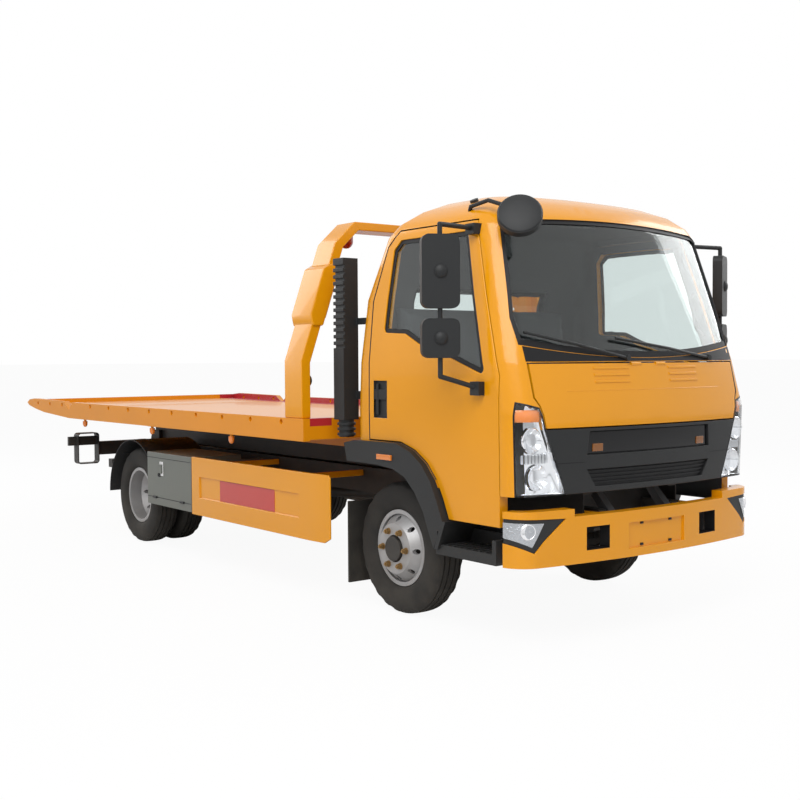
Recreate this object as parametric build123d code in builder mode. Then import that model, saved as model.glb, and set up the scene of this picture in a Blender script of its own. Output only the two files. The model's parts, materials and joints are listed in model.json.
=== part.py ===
# Light cab-over flatbed tow truck with a tilting, sliding bed.
# Millimetres; +X forward, +Y to the truck's left, +Z up; the origin is on the ground,
# under the middle of the overall length.  Distances along the truck are written from the
# front axle and moved into this frame by the sketch planes and by box_at.
import os
from math import cos, hypot, radians, sin

from build123d import *

os.makedirs("parts", exist_ok=True)

# Driving dimensions: layout
WHEELBASE = 3458
FRONT_OVERHANG = 1200
REAR_OVERHANG = 2067
LENGTH = FRONT_OVERHANG + WHEELBASE + REAR_OVERHANG
FRONT_AXLE_X = LENGTH / 2 - FRONT_OVERHANG
REAR = -WHEELBASE
TAIL_TIP = -WHEELBASE - REAR_OVERHANG

# Driving dimensions: running clearances
FIT = 0.3
PIN_FIT = 0.5
PANEL_GAP = 7

# Driving dimensions: tyres, wheels and axles
TYRE_R = 387.5
TYRE_W = 200
RIM_R = 208
RIM_W = 150
RIM_T = 8
FLANGE_R = 224
WHEEL_OFFSET = 120
DISC_T = 10
BORE_R = 80
FRONT_TRACK_Y = 780
REAR_OUTER_Y = 840
REAR_INNER_Y = REAR_OUTER_Y - 2 * WHEEL_OFFSET
KINGPIN_Y = 680
KINGPIN_R = 20
HUB_R = 135
HUB_FLANGE_T = 42
DRUM_R = 155
NOSE_R = BORE_R - 8
NOSE_L = 26

# Driving dimensions: chassis frame
FRAME_TOP = 760
FRAME_H = 170
FRAME_BOTTOM = FRAME_TOP - FRAME_H
FRAME_Y = 385
RAIL_FLANGE = 70
RAIL_T = 8
FRAME_FRONT = 1010
FRAME_REAR = -4660
SPRING_W = 64
SPRING_Y = FRAME_Y - RAIL_FLANGE / 2

# Driving dimensions: cab
CAB_WALL = 45
DOOR_WALL = 60
GLASS_T = 5
GLASS_INSET = 14
CAB_BOTTOM = 785
DOOR_BOTTOM = 620
SEAT_FLOOR = 1000
FOOT_FLOOR = 800
FLOOR_T = 15
FIREWALL_X = 980
CAB_HALF_W = 950
CAB_HINGE_X = 1050
CAB_HINGE_Z = 640

# Driving dimensions: bed, tilt frame and gantry
BED_HALF_W = 1120
BED_FRONT = -630
BED_JOIN = -4470
BED_TOP = 1128
RAIL_BOTTOM = 988
BED_RAIL_T = 50
DECK_Z = 1080
DECK_T = 8
TILT_TOP = 885
TILT_H = 110
TILT_Y = 345
TILT_W = 60
TILT_PIVOT_X = -4300
TILT_PIVOT_Z = 695
GANTRY_FRONT = -660
GANTRY_DEPTH = 200

# Driving dimensions: bodywork beside the frame
SIDE_Y = 1050
BOX_FRONT = -2275
BOX_REAR = -3020
BOX_BOTTOM = 375
BOX_TOP = 780
BOX_DEPTH = 420
BOX_WALL = 12
LID_T = 18
GUARD_FRONT = -475


def side(y):
    """Upright plane along the truck: local x forward from the front axle, extruding to -Y."""
    return Plane(origin=(FRONT_AXLE_X, y, 0), x_dir=(1, 0, 0), z_dir=(0, -1, 0))


def across(x):
    """Upright plane across the truck: local x to the left, local y up, extruding forward."""
    return Plane(origin=(FRONT_AXLE_X + x, 0, 0), x_dir=(0, 1, 0), z_dir=(1, 0, 0))


def level(z):
    """Flat plane: local x forward from the front axle, local y to the left, extruding up."""
    return Plane(origin=(FRONT_AXLE_X, 0, z))


def axle_point(x, y, z):
    """Point given from the front axle, in the truck's frame."""
    return (FRONT_AXLE_X + x, y, z)


def span(s, reach):
    """Low and high y on one side of a pair of distances from the middle."""
    return sorted((s * reach[0], s * reach[1]))


def box_at(x, y, z, mode=Mode.ADD):
    """Box between three (low, high) pairs, x from the front axle."""
    with Locations(axle_point(sum(x) / 2, sum(y) / 2, sum(z) / 2)):
        Box(x[1] - x[0], y[1] - y[0], z[1] - z[0], mode=mode)


def rod_at(start, end, radius, mode=Mode.ADD):
    """Round bar between two points given from the front axle."""
    a = Vector(*axle_point(*start))
    b = Vector(*axle_point(*end))
    with Locations(Plane(origin=(a + b) * 0.5, z_dir=b - a)):
        Cylinder(radius, (b - a).length, mode=mode)


def polygon_on(plane, points, depth, mode=Mode.ADD, both=False):
    """Prism of a straight-sided outline drawn on a plane."""
    with BuildSketch(plane) as outline:
        Polygon(*points, align=None)
    extrude(outline.sketch, amount=depth, mode=mode, both=both)


def save(piece, name):
    """Label a finished piece and write it."""
    piece.label = name
    export_step(piece, f"parts/{name}.step")


# Tyres: half section as (distance from the tyre's middle, radius)
TYRE_HALF = [
    (RIM_W / 2 - RIM_T - FIT, RIM_R),
    (RIM_W / 2 - RIM_T - FIT, FLANGE_R + FIT),
    (TYRE_W / 2 - 6, FLANGE_R + 20),
    (TYRE_W / 2, TYRE_R - 80),
    (TYRE_W / 2 - 16, TYRE_R - 16),
    (TYRE_W / 2 - 50, TYRE_R),
]


def wheel_plane(x, y):
    """Plane through a wheel's axis: local x along the axle to the left, local y outwards."""
    return Plane(origin=axle_point(x, y, TYRE_R), x_dir=(0, 1, 0), z_dir=(1, 0, 0))


def wheel_axis(x):
    """Axis that a wheel turns about."""
    return Axis(axle_point(x, 0, TYRE_R), (0, 1, 0))


def add_tyre(x, y):
    """Turn one tyre about its axle."""
    points = TYRE_HALF + [(-u, r) for u, r in reversed(TYRE_HALF)]
    with BuildSketch(wheel_plane(x, y)) as section:
        Polygon(*points, align=None)
    revolve(section.sketch, axis=wheel_axis(x))


# Wheels: rim and dished disc, as (distance from the tyre's middle, radius); the disc faces +u
def rim_section():
    """Barrel with its two flanges."""
    half = RIM_W / 2
    seat = RIM_R - FIT
    return [
        (-half, seat - RIM_T),
        (half, seat - RIM_T),
        (half, FLANGE_R),
        (half - RIM_T, FLANGE_R),
        (half - RIM_T, seat),
        (RIM_T - half, seat),
        (RIM_T - half, FLANGE_R),
        (-half, FLANGE_R),
    ]


def disc_section():
    """Dished disc: bore, flat mounting face, cone, weld to the barrel."""
    face = WHEEL_OFFSET - FIT
    weld_u = RIM_W / 2 - 35
    weld_r = RIM_R - FIT - RIM_T / 2
    return [
        (face - DISC_T, BORE_R),
        (face, BORE_R),
        (face, HUB_R + 12),
        (weld_u + DISC_T, weld_r),
        (weld_u - 2 * DISC_T, weld_r),
        (face - DISC_T, HUB_R),
    ]


HAND_HOLES = 8
HAND_HOLE_R = 15
HAND_HOLE_PCD_R = HUB_R + 36


def add_rim(x, y, facing):
    """One wheel whose disc faces +Y (facing 1) or -Y (facing -1)."""
    for outline in (rim_section(), disc_section()):
        with BuildSketch(wheel_plane(x, y)) as section:
            Polygon(*[(facing * u, r) for u, r in outline], align=None)
        revolve(section.sketch, axis=wheel_axis(x))
    hole_plane = Plane(origin=axle_point(x, y, TYRE_R), x_dir=(1, 0, 0), z_dir=(0, facing, 0))
    with Locations(hole_plane.offset(WHEEL_OFFSET)):
        with PolarLocations(HAND_HOLE_PCD_R, HAND_HOLES):
            Cylinder(HAND_HOLE_R, 2 * WHEEL_OFFSET, mode=Mode.SUBTRACT)


# Columns: side name, sign of y
SIDES = [("right", -1), ("left", 1)]

for name, s in SIDES:
    with BuildPart() as front_tyre:
        add_tyre(0, s * FRONT_TRACK_Y)
    save(front_tyre.part, f"tyre_front_{name}")
    with BuildPart() as front_rim:
        add_rim(0, s * FRONT_TRACK_Y, s)
    save(front_rim.part, f"rim_front_{name}")
    with BuildPart() as rear_tyres:
        add_tyre(REAR, s * REAR_OUTER_Y)
        add_tyre(REAR, s * REAR_INNER_Y)
    save(rear_tyres.part, f"tyres_rear_{name}")
    with BuildPart() as rear_rims:
        add_rim(REAR, s * REAR_OUTER_Y, -s)
        add_rim(REAR, s * REAR_INNER_Y, s)
    save(rear_rims.part, f"rims_rear_{name}")

# Knuckles: fork round the axle's end boss, brake drum, hub flange and nose
BOSS_H = 116
FORK_T = 40
FORK_R = 44
HUB_FACE_Y = FRONT_TRACK_Y + WHEEL_OFFSET - DISC_T - 2 * FIT
DRUM_START_Y = KINGPIN_Y + FORK_R + 12
for name, s in SIDES:
    with BuildPart() as knuckle:
        for up in (-1, 1):
            fork_z = TYRE_R + up * (BOSS_H / 2 + FIT + FORK_T / 2)
            fork = (fork_z - FORK_T / 2, fork_z + FORK_T / 2)
            with Locations(axle_point(0, s * KINGPIN_Y, fork_z)):
                Cylinder(FORK_R, FORK_T)
            box_at((-FORK_R, FORK_R), span(s, (KINGPIN_Y, DRUM_START_Y + 10)), fork)
        kingpin = [(0, s * KINGPIN_Y, TYRE_R + up * (BOSS_H / 2 + 2)) for up in (-1, 1)]
        rod_at(*kingpin, KINGPIN_R)
        flange_y = HUB_FACE_Y - HUB_FLANGE_T
        rod_at((0, s * DRUM_START_Y, TYRE_R), (0, s * flange_y, TYRE_R), DRUM_R)
        rod_at((0, s * flange_y, TYRE_R), (0, s * HUB_FACE_Y, TYRE_R), HUB_R)
        rod_at((0, s * HUB_FACE_Y, TYRE_R), (0, s * (HUB_FACE_Y + NOSE_L), TYRE_R), NOSE_R)
    save(knuckle.part, f"knuckle_{name}")

# Front axle: dropped beam with a boss for each kingpin; springs sit on its flat middle
BEAM_TOP = 345
BEAM_H = 75
BEAM_T = 70
BEAM_FLAT_Y = 470
BEAM_END_Y = KINGPIN_Y - 30
with BuildPart() as front_axle:
    beam_half = [
        (BEAM_FLAT_Y, BEAM_TOP - BEAM_H),
        (BEAM_END_Y, TYRE_R - BEAM_H / 2),
        (BEAM_END_Y, TYRE_R + BEAM_H / 2),
        (BEAM_FLAT_Y, BEAM_TOP),
    ]
    beam = beam_half + [(-y, z) for y, z in reversed(beam_half)]
    polygon_on(across(-BEAM_T / 2), beam, BEAM_T)
    for name, s in SIDES:
        with Locations(axle_point(0, s * KINGPIN_Y, TYRE_R)):
            Cylinder(FORK_R - 2, BOSS_H)
            Cylinder(KINGPIN_R + PIN_FIT, BOSS_H, mode=Mode.SUBTRACT)
save(front_axle.part, "front_axle")

# Rear axle: tubes, round differential housing, drums, hub flanges and half-shaft noses
AXLE_TUBE_R = 62
DIFF_R = 165
DIFF_L = 190
REAR_DRUM_Y = 540
REAR_HUB_FACE_Y = REAR_OUTER_Y - WHEEL_OFFSET - DISC_T - 2 * FIT
NOSE_END_Y = REAR_OUTER_Y - WHEEL_OFFSET + 70
with BuildPart() as rear_axle:
    rod_at((REAR, -REAR_DRUM_Y, TYRE_R), (REAR, REAR_DRUM_Y, TYRE_R), AXLE_TUBE_R)
    rod_at((REAR - DIFF_L / 2, 0, TYRE_R), (REAR + DIFF_L / 2, 0, TYRE_R), DIFF_R)
    rod_at((REAR, 0, TYRE_R), (REAR + DIFF_L, 0, TYRE_R), AXLE_TUBE_R)
    for name, s in SIDES:
        flange_y = REAR_HUB_FACE_Y - HUB_FLANGE_T
        rod_at((REAR, s * REAR_DRUM_Y, TYRE_R), (REAR, s * flange_y, TYRE_R), DRUM_R)
        rod_at((REAR, s * flange_y, TYRE_R), (REAR, s * REAR_HUB_FACE_Y, TYRE_R), HUB_R)
        rod_at((REAR, s * REAR_HUB_FACE_Y, TYRE_R), (REAR, s * NOSE_END_Y, TYRE_R), NOSE_R)
save(rear_axle.part, "rear_axle")

# Leaf springs: a bowed main leaf over two shorter ones, seated on the axles
# Columns: axle x, seat height, half length, rise of the ends, half lengths of the lower leaves
FRONT_SPRING = (0, BEAM_TOP, 560, 105, (430, 300))
REAR_SPRING = (REAR, TYRE_R + AXLE_TUBE_R, 620, 70, (480, 330))
LEAF_T = 16


def bow(half, rise, reach):
    """Rise of a bowed leaf at a distance from its middle."""
    return rise * (reach / half) ** 2


with BuildPart() as leaf_springs:
    for axle_x, seat, half, rise, lower in (FRONT_SPRING, REAR_SPRING):
        stack = [*reversed(lower), half]
        for row, reach in enumerate(stack):
            z = seat + row * LEAF_T
            end = bow(half, rise, reach)
            with BuildSketch(side(-SPRING_Y + SPRING_W / 2)) as leaf:
                with BuildLine():
                    ThreePointArc((axle_x - reach, z + end), (axle_x, z), (axle_x + reach, z + end))
                    Line((axle_x + reach, z + end), (axle_x + reach, z + end + LEAF_T))
                    ThreePointArc(
                        (axle_x + reach, z + end + LEAF_T),
                        (axle_x, z + LEAF_T),
                        (axle_x - reach, z + end + LEAF_T),
                    )
                    Line((axle_x - reach, z + end + LEAF_T), (axle_x - reach, z + end))
                make_face()
            extrude(leaf.sketch, amount=SPRING_W)
    mirror(about=Plane.XZ)
save(leaf_springs.part, "leaf_springs")

# Chassis frame: two channel rails, cross members, spring hangers, cab hinge and bed pivot brackets
# Columns: x of each cross member
CROSS_MEMBERS = [820, -700, -1500, -2000, -2820, -4000, -4560]
CROSS_T = 60
HANGER_T = 50
CAB_HINGE_Y = 300
CAB_HINGE_W = 60
CAB_BRACKET_REAR = 850
HINGE_PIN_R = 18
BED_PIN_R = 22
CYL_FOOT = (-2600, 640)
CYL_PIN_R = 20
LIFT_X = -4560
LIFT_Z = 510
LIFT_W = 120
LIFT_PIN_R = 16
LIFT_CHEEK_T = 40
LIFT_CHEEK_HALF = 30
LUG_T = 22
with BuildPart() as chassis_frame:
    box_at((FRAME_REAR, FRAME_FRONT), (-FRAME_Y, RAIL_FLANGE - FRAME_Y), (FRAME_BOTTOM, FRAME_TOP))
    box_at(
        (FRAME_REAR, FRAME_FRONT),
        (RAIL_T - FRAME_Y, RAIL_FLANGE - FRAME_Y),
        (FRAME_BOTTOM + RAIL_T, FRAME_TOP - RAIL_T),
        Mode.SUBTRACT,
    )
    for axle_x, seat, half, rise, lower in (FRONT_SPRING, REAR_SPRING):
        eye_z = seat + len(lower) * LEAF_T + rise + LEAF_T
        for end in (-1, 1):
            eye_x = axle_x + end * (half - HANGER_T / 2)
            hanger_y = (-SPRING_Y - SPRING_W / 2, -SPRING_Y + SPRING_W / 2)
            box_at((eye_x - HANGER_T / 2, eye_x + HANGER_T / 2), hanger_y, (eye_z + FIT, FRAME_BOTTOM))
    mirror(about=Plane.XZ)
    for x in CROSS_MEMBERS:
        inside = FRAME_Y - RAIL_T
        cross_z = (FRAME_BOTTOM + RAIL_T, FRAME_TOP - RAIL_T)
        box_at((x - CROSS_T / 2, x + CROSS_T / 2), (-inside, inside), cross_z)
    for name, s in SIDES:
        bracket_y = span(s, (CAB_HINGE_Y - CAB_HINGE_W / 2, CAB_HINGE_Y + CAB_HINGE_W / 2))
        bracket_z = (FRAME_BOTTOM + RAIL_T, CAB_HINGE_Z + 2 * HINGE_PIN_R)
        box_at((CAB_BRACKET_REAR, CAB_HINGE_X), bracket_y, bracket_z)
        with Locations(axle_point(CAB_HINGE_X, s * CAB_HINGE_Y, CAB_HINGE_Z)):
            Cylinder(2 * HINGE_PIN_R, CAB_HINGE_W, rotation=(90, 0, 0))
        bed_pin = [(TILT_PIVOT_X, y, TILT_PIVOT_Z) for y in span(s, (FRAME_Y - RAIL_T, FRAME_Y + 3 * LUG_T))]
        rod_at(*bed_pin, BED_PIN_R)
        cheek_y = span(s, (LIFT_W / 2 + FIT, LIFT_W / 2 + LIFT_CHEEK_T))
        cheek_x = (LIFT_X - LIFT_CHEEK_HALF, LIFT_X + LIFT_CHEEK_HALF)
        box_at(cheek_x, cheek_y, (LIFT_Z - LIFT_CHEEK_T, FRAME_BOTTOM + RAIL_T))
    # Columns: x, z, half length and radius of each pin across the truck
    cross_pins = [
        (CAB_HINGE_X, CAB_HINGE_Z, CAB_HINGE_Y, HINGE_PIN_R),
        (*CYL_FOOT, FRAME_Y - RAIL_T, CYL_PIN_R),
        (LIFT_X, LIFT_Z, LIFT_W / 2 + LIFT_CHEEK_T, LIFT_PIN_R),
    ]
    for x, z, half, radius in cross_pins:
        rod_at((x, -half, z), (x, half, z), radius)
save(chassis_frame.part, "chassis_frame")

# Cab body: flat sections from the door's bottom to the roof's crown
# Columns: height, x of the rear wall, half width, x of the front corners and middle, corner radius
CAB_SECTIONS = [
    (DOOR_BOTTOM, -337, CAB_HALF_W - 8, 1080, 1162, 120),
    (1200, -327, CAB_HALF_W, 1092, 1182, 120),
    (1470, -314, CAB_HALF_W - 2, 1028, 1126, 150),
    (1840, -290, CAB_HALF_W - 38, 914, 1024, 150),
    (2200, -140, CAB_HALF_W - 86, 800, 925, 150),
    (2270, -60, CAB_HALF_W - 112, 758, 880, 150),
    (2335, 40, CAB_HALF_W - 190, 690, 800, 150),
    (2385, 110, CAB_HALF_W - 320, 590, 680, 140),
    (2412, 180, CAB_HALF_W - 520, 480, 545, 110),
]
REAR_CORNER_R = 90
CROWN_Z = 2300


def cab_body(inset):
    """Solid of the cab's outside, drawn in by inset on all sides but the bottom."""
    half_way = sin(radians(45))
    with BuildPart() as body:
        for z, rear, half, corner, front, radius in CAB_SECTIONS:
            drop = inset if z > CROWN_Z else 0
            w = half - inset
            back = rear + inset
            nose = front - inset
            round_f = radius - inset
            round_r = REAR_CORNER_R - inset
            turn = corner - inset - round_f
            ends = nose - (front - corner) * ((w - round_f) / w) ** 2
            bulge = (turn + (ends - turn) * half_way, w - round_f * (1 - half_way))
            heel = (back + round_r * (1 - half_way), w - round_r * (1 - half_way))
            with BuildSketch(level(z - drop)):
                with BuildLine():
                    Line((turn, w), (back + round_r, w))
                    ThreePointArc((back + round_r, w), heel, (back, w - round_r))
                    Line((back, w - round_r), (back, round_r - w))
                    ThreePointArc((back, round_r - w), (heel[0], -heel[1]), (back + round_r, -w))
                    Line((back + round_r, -w), (turn, -w))
                    ThreePointArc((turn, -w), (bulge[0], -bulge[1]), (ends, round_f - w))
                    ThreePointArc((ends, round_f - w), (nose, 0), (ends, w - round_f))
                    ThreePointArc((ends, w - round_f), bulge, (turn, w))
                make_face()
        loft(ruled=True)
    return body.part


CAB_OUTER = cab_body(0)
CAB_INNER = cab_body(CAB_WALL)
DOOR_INNER = cab_body(DOOR_WALL)
GLASS_OUTER = cab_body(GLASS_INSET)
GLASS_INNER = cab_body(GLASS_INSET + GLASS_T)

# Outlines in side view, from the front axle: wheel-arch flare, door and door window
FLARE_TOP = 1013
FLARE_OUTER = [
    (-390, 990),
    (-290, 1009),
    (127, FLARE_TOP),
    (256, 974),
    (359, 910),
    (436, 824),
    (491, 724),
    (540, 618),
]
FLARE_INNER = [
    (-358, 882),
    (-59, 880),
    (101, 864),
    (208, 827),
    (300, 748),
    (374, 649),
    (436, 515),
    (467, 456),
]
DOOR_FRONT = 955
DOOR_REAR = -170
DOOR_TOP = 2228
DOOR_OUTLINE = [
    (DOOR_FRONT, DOOR_BOTTOM),
    (DOOR_FRONT, 1400),
    (690, DOOR_TOP),
    (20, DOOR_TOP),
    (-75, 2140),
    (DOOR_REAR, 1830),
    (DOOR_REAR, FLARE_TOP + PANEL_GAP),
    (130, FLARE_TOP + PANEL_GAP),
    (260, 974 + PANEL_GAP),
    (366, 910 + PANEL_GAP),
    (444, 824 + PANEL_GAP),
    (499, 724 + PANEL_GAP),
    (547, DOOR_BOTTOM),
]
WINDOW_OUTLINE = [
    (-50, 1645),
    (150, 1635),
    (290, 1572),
    (540, 1505),
    (852, 1400),
    (628, 2175),
    (40, 2175),
    (-20, 2120),
]
WINDOW_R = 26

# Outlines in front view: lid, lamps, grille and windscreen, as (distance from the middle, height)
LID_BOTTOM = 1132
LID_TOP = 1462
LID_HALF = [(766, LID_BOTTOM), (797, 1247), (823, 1290), (827, LID_TOP)]
# The lid's opening, wider at its upper sides so that the lid clears it as it swings
LID_HOLE_HALF = [(773, LID_BOTTOM), (806, 1247), (835, 1290), (839, LID_TOP + PANEL_GAP)]
LID_HINGE_X = 1124
LID_HINGE_Z = LID_TOP - 4
LID_BARREL_Y = (60, 140)
LID_BARREL_R = LID_TOP + PANEL_GAP - LID_HINGE_Z - FIT
LAMP_OUTLINE = [(637, CAB_BOTTOM), (975, CAB_BOTTOM), (975, 1285), (806, 1240), (772, 1125)]
GRILLE_HALF = [(637, CAB_BOTTOM), (772, 1125)]
SCREEN_BOTTOM = 1492
SCREEN_TOP = 2236
SCREEN_HALF = [(858, 1560), (866, 1700), (800, 2196), (740, 2226)]
BAY_FRONT = 1300


def both_halves(half):
    """Closed front-view outline from its half, given from the bottom up."""
    return half + [(-y, z) for y, z in reversed(half)]


def front_prism(points, start):
    """Prism of a front-view outline, from a distance ahead of the axle forwards."""
    with BuildPart() as prism:
        polygon_on(across(start), points, BAY_FRONT - start)
    return prism.part


def screen_prism(start):
    """Prism of the windscreen's outline, bowed at the sill and the header."""
    bottom = SCREEN_HALF[0]
    top = SCREEN_HALF[-1]
    with BuildPart() as prism:
        with BuildSketch(across(start)):
            with BuildLine():
                Polyline(*SCREEN_HALF)
                ThreePointArc(top, (0, SCREEN_TOP + 12), (-top[0], top[1]))
                Polyline(*[(-y, z) for y, z in reversed(SCREEN_HALF)])
                ThreePointArc((-bottom[0], bottom[1]), (0, SCREEN_BOTTOM), bottom)
            make_face()
        extrude(amount=BAY_FRONT - start)
    return prism.part


def side_prism(points, radius, start, depth):
    """Prism of a side-view outline on the right-hand side, with rounded corners."""
    with BuildPart() as prism:
        with BuildSketch(side(-start)) as outline:
            Polygon(*points, align=None)
            if radius:
                fillet(outline.vertices(), radius)
        extrude(amount=depth)
    return prism.part


SIDE_START = 600
SIDE_DEPTH = 600
WINDOW_PRISM = side_prism(WINDOW_OUTLINE, WINDOW_R, SIDE_START, SIDE_DEPTH)
SCREEN_PRISM = screen_prism(700)
REAR_WINDOW_Y = 560
REAR_WINDOW_Z = (1500, 1930)


def grown(points, gap):
    """Outline moved outwards by a gap, for the opening round a panel."""
    with BuildSketch() as outline:
        Polygon(*points, align=None)
        offset(amount=gap, kind=Kind.INTERSECTION)
    return outline.sketch


# Cab shell: hollow body with door openings, windscreen, rear window and the bay behind the lid
LAMP_START = 1045
CAB_ARM_Y = 230
CAB_ARM_T = 50
CAB_ARM_HALF = 25
CAB_ARM_ROOT = 90
SEAT_STEP_X = (330, 400)
ARCH = [(110, 945), (225, 905), (330, 830), (400, CAB_BOTTOM - 1)]
# Reach of the cuts that run past the cab on all sides
CUT_X = (-700, 1400)
CUT_Y = (-1200, 1200)
CUT_Z = 500
with BuildPart() as hollow:
    add(CAB_INNER)
    floor_line = [
        (CUT_X[0], CUT_Z),
        (CUT_X[0], SEAT_FLOOR),
        (SEAT_STEP_X[0], SEAT_FLOOR),
        (SEAT_STEP_X[1], FOOT_FLOOR),
        (CUT_X[1], FOOT_FLOOR),
        (CUT_X[1], CUT_Z),
    ]
    polygon_on(side(CUT_Y[1]), floor_line, CUT_Y[1] - CUT_Y[0], Mode.SUBTRACT)
    box_at((FIREWALL_X - CAB_WALL, CUT_X[1]), CUT_Y, (CUT_Z, SCREEN_BOTTOM - 60), Mode.SUBTRACT)

with BuildPart() as door_hole:
    with BuildSketch(side(-SIDE_START)) as opening:
        add(grown(DOOR_OUTLINE, PANEL_GAP))
    extrude(amount=SIDE_DEPTH)
    mirror(about=Plane.XZ)

with BuildPart() as cab_shell:
    add(CAB_OUTER)
    add(hollow.part, mode=Mode.SUBTRACT)
    box_at(CUT_X, CUT_Y, (DOOR_BOTTOM - 50, CAB_BOTTOM), Mode.SUBTRACT)
    arch = [(CUT_X[0], 700), (CUT_X[0], SEAT_FLOOR - 50), *ARCH]
    polygon_on(side(CUT_Y[1]), arch, CUT_Y[1] - CUT_Y[0], Mode.SUBTRACT)
    add(door_hole.part, mode=Mode.SUBTRACT)
    add(SCREEN_PRISM, mode=Mode.SUBTRACT)
    box_at((CUT_X[0], 0), (-REAR_WINDOW_Y, REAR_WINDOW_Y), REAR_WINDOW_Z, Mode.SUBTRACT)
    add(front_prism(both_halves(GRILLE_HALF + LID_HOLE_HALF), FIREWALL_X), mode=Mode.SUBTRACT)
    for name, s in SIDES:
        add(front_prism([(s * y, z) for y, z in LAMP_OUTLINE], LAMP_START), mode=Mode.SUBTRACT)
        arm_y = s * CAB_ARM_Y + CAB_ARM_T / 2
        arm = [
            (FIREWALL_X - CAB_ARM_ROOT, CAB_BOTTOM + FLOOR_T),
            (FIREWALL_X, CAB_BOTTOM + FLOOR_T),
            (FIREWALL_X, CAB_BOTTOM - CAB_ARM_HALF),
            (CAB_HINGE_X + CAB_ARM_HALF, CAB_HINGE_Z + CAB_ARM_HALF),
            (CAB_HINGE_X + CAB_ARM_HALF, CAB_HINGE_Z),
            (CAB_HINGE_X - CAB_ARM_HALF, CAB_HINGE_Z),
        ]
        polygon_on(side(arm_y), arm, CAB_ARM_T)
        eye = [(CAB_HINGE_X, arm_y - along * CAB_ARM_T, CAB_HINGE_Z) for along in (0, 1)]
        rod_at(*eye, 2 * HINGE_PIN_R)
        bore = [(CAB_HINGE_X, arm_y - along * CAB_ARM_T, CAB_HINGE_Z) for along in (-0.1, 1.1)]
        rod_at(*bore, HINGE_PIN_R + PIN_FIT, Mode.SUBTRACT)
save(cab_shell.part, "cab_shell")

# Cab glass: windscreen and rear window, set in their openings
with BuildPart() as cab_glass:
    add(GLASS_OUTER)
    add(GLASS_INNER, mode=Mode.SUBTRACT)
    with BuildPart(mode=Mode.PRIVATE) as glazed:
        add(SCREEN_PRISM)
        box_at((CUT_X[0], 0), (-REAR_WINDOW_Y, REAR_WINDOW_Y), REAR_WINDOW_Z)
    add(glazed.part, mode=Mode.INTERSECT)
save(cab_glass.part, "cab_glass")

# Doors: a slice of the cab body with its window cut; glass and handle recess
HANDLE_X = (-128, 0)
HANDLE_Z = (1150, 1365)
HANDLE_DEPTH = 18
GRIP_Z = (1255, 1315)
GRIP_SINK = 6
DOOR_PRISM = side_prism(DOOR_OUTLINE, 0, SIDE_START, SIDE_DEPTH)
with BuildPart() as door_right:
    add(CAB_OUTER)
    add(DOOR_INNER, mode=Mode.SUBTRACT)
    add(DOOR_PRISM, mode=Mode.INTERSECT)
    add(WINDOW_PRISM, mode=Mode.SUBTRACT)
    box_at(HANDLE_X, (-CAB_HALF_W - 10, HANDLE_DEPTH - CAB_HALF_W), HANDLE_Z, Mode.SUBTRACT)
    box_at(HANDLE_X, (GRIP_SINK - CAB_HALF_W, HANDLE_DEPTH - CAB_HALF_W), GRIP_Z)
with BuildPart() as door_glass_right:
    add(GLASS_OUTER)
    add(GLASS_INNER, mode=Mode.SUBTRACT)
    add(WINDOW_PRISM, mode=Mode.INTERSECT)

# Door mirrors: a tube with two heads, carried by brackets at the door's front corner
MIRROR_Y = 1150
MIRROR_X = 735
MIRROR_TUBE_R = 13
MIRROR_TOP = 2182
MIRROR_FOOT = 1400
# Columns: middle height, half height of each head
MIRROR_HEADS = [(1940, 190), (1597, 102)]
HEAD_HALF_W = 100
HEAD_T = 60
HEAD_R = 40
HEAD_TOE = 28
UPPER_BRACKET = ((655, 725), (-910, -850), (2150, 2206))
LOWER_BRACKET = ((780, 850), (-990, -900), (1300, 1372))
# Columns: points of the tube from the door's upper bracket down to its lower one
MIRROR_TUBE = [
    (690, -890, MIRROR_TOP),
    (MIRROR_X, -MIRROR_Y, MIRROR_TOP),
    (MIRROR_X, -MIRROR_Y, MIRROR_FOOT),
    (815, -970, 1340),
]
with BuildPart() as mirrors_right:
    box_at(*UPPER_BRACKET)
    box_at(*LOWER_BRACKET)
    add(CAB_OUTER, mode=Mode.SUBTRACT)
    for start, end in zip(MIRROR_TUBE, MIRROR_TUBE[1:]):
        rod_at(start, end, MIRROR_TUBE_R)
    for bend in MIRROR_TUBE[1:-1]:
        with Locations(axle_point(*bend)):
            Sphere(MIRROR_TUBE_R)
    for z, half in MIRROR_HEADS:
        facing = (cos(radians(HEAD_TOE)), -sin(radians(HEAD_TOE)), 0)
        middle = axle_point(MIRROR_X, -MIRROR_Y, z)
        face = Plane(origin=middle, x_dir=(-facing[1], facing[0], 0), z_dir=facing)
        with BuildSketch(face.offset(-HEAD_T / 2)) as head:
            RectangleRounded(2 * HEAD_HALF_W, 2 * half, HEAD_R)
        extrude(head.sketch, amount=HEAD_T)

for name, s in SIDES:
    for piece, node in ((door_right, "door"), (door_glass_right, "door_glass"), (mirrors_right, "mirrors")):
        save(piece.part if s < 0 else piece.part.mirror(Plane.XZ), f"{node}_{name}")

# Front lid: curved panel that hangs from its top edge
LID_WALL = 24
with BuildPart() as front_lid:
    add(CAB_OUTER)
    add(cab_body(LID_WALL), mode=Mode.SUBTRACT)
    add(front_prism(both_halves(LID_HALF), FIREWALL_X + 20), mode=Mode.INTERSECT)
    for name, s in SIDES:
        barrel = [(LID_HINGE_X, s * y, LID_HINGE_Z) for y in LID_BARREL_Y]
        rod_at(*barrel, LID_BARREL_R)
save(front_lid.part, "front_lid")

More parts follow.
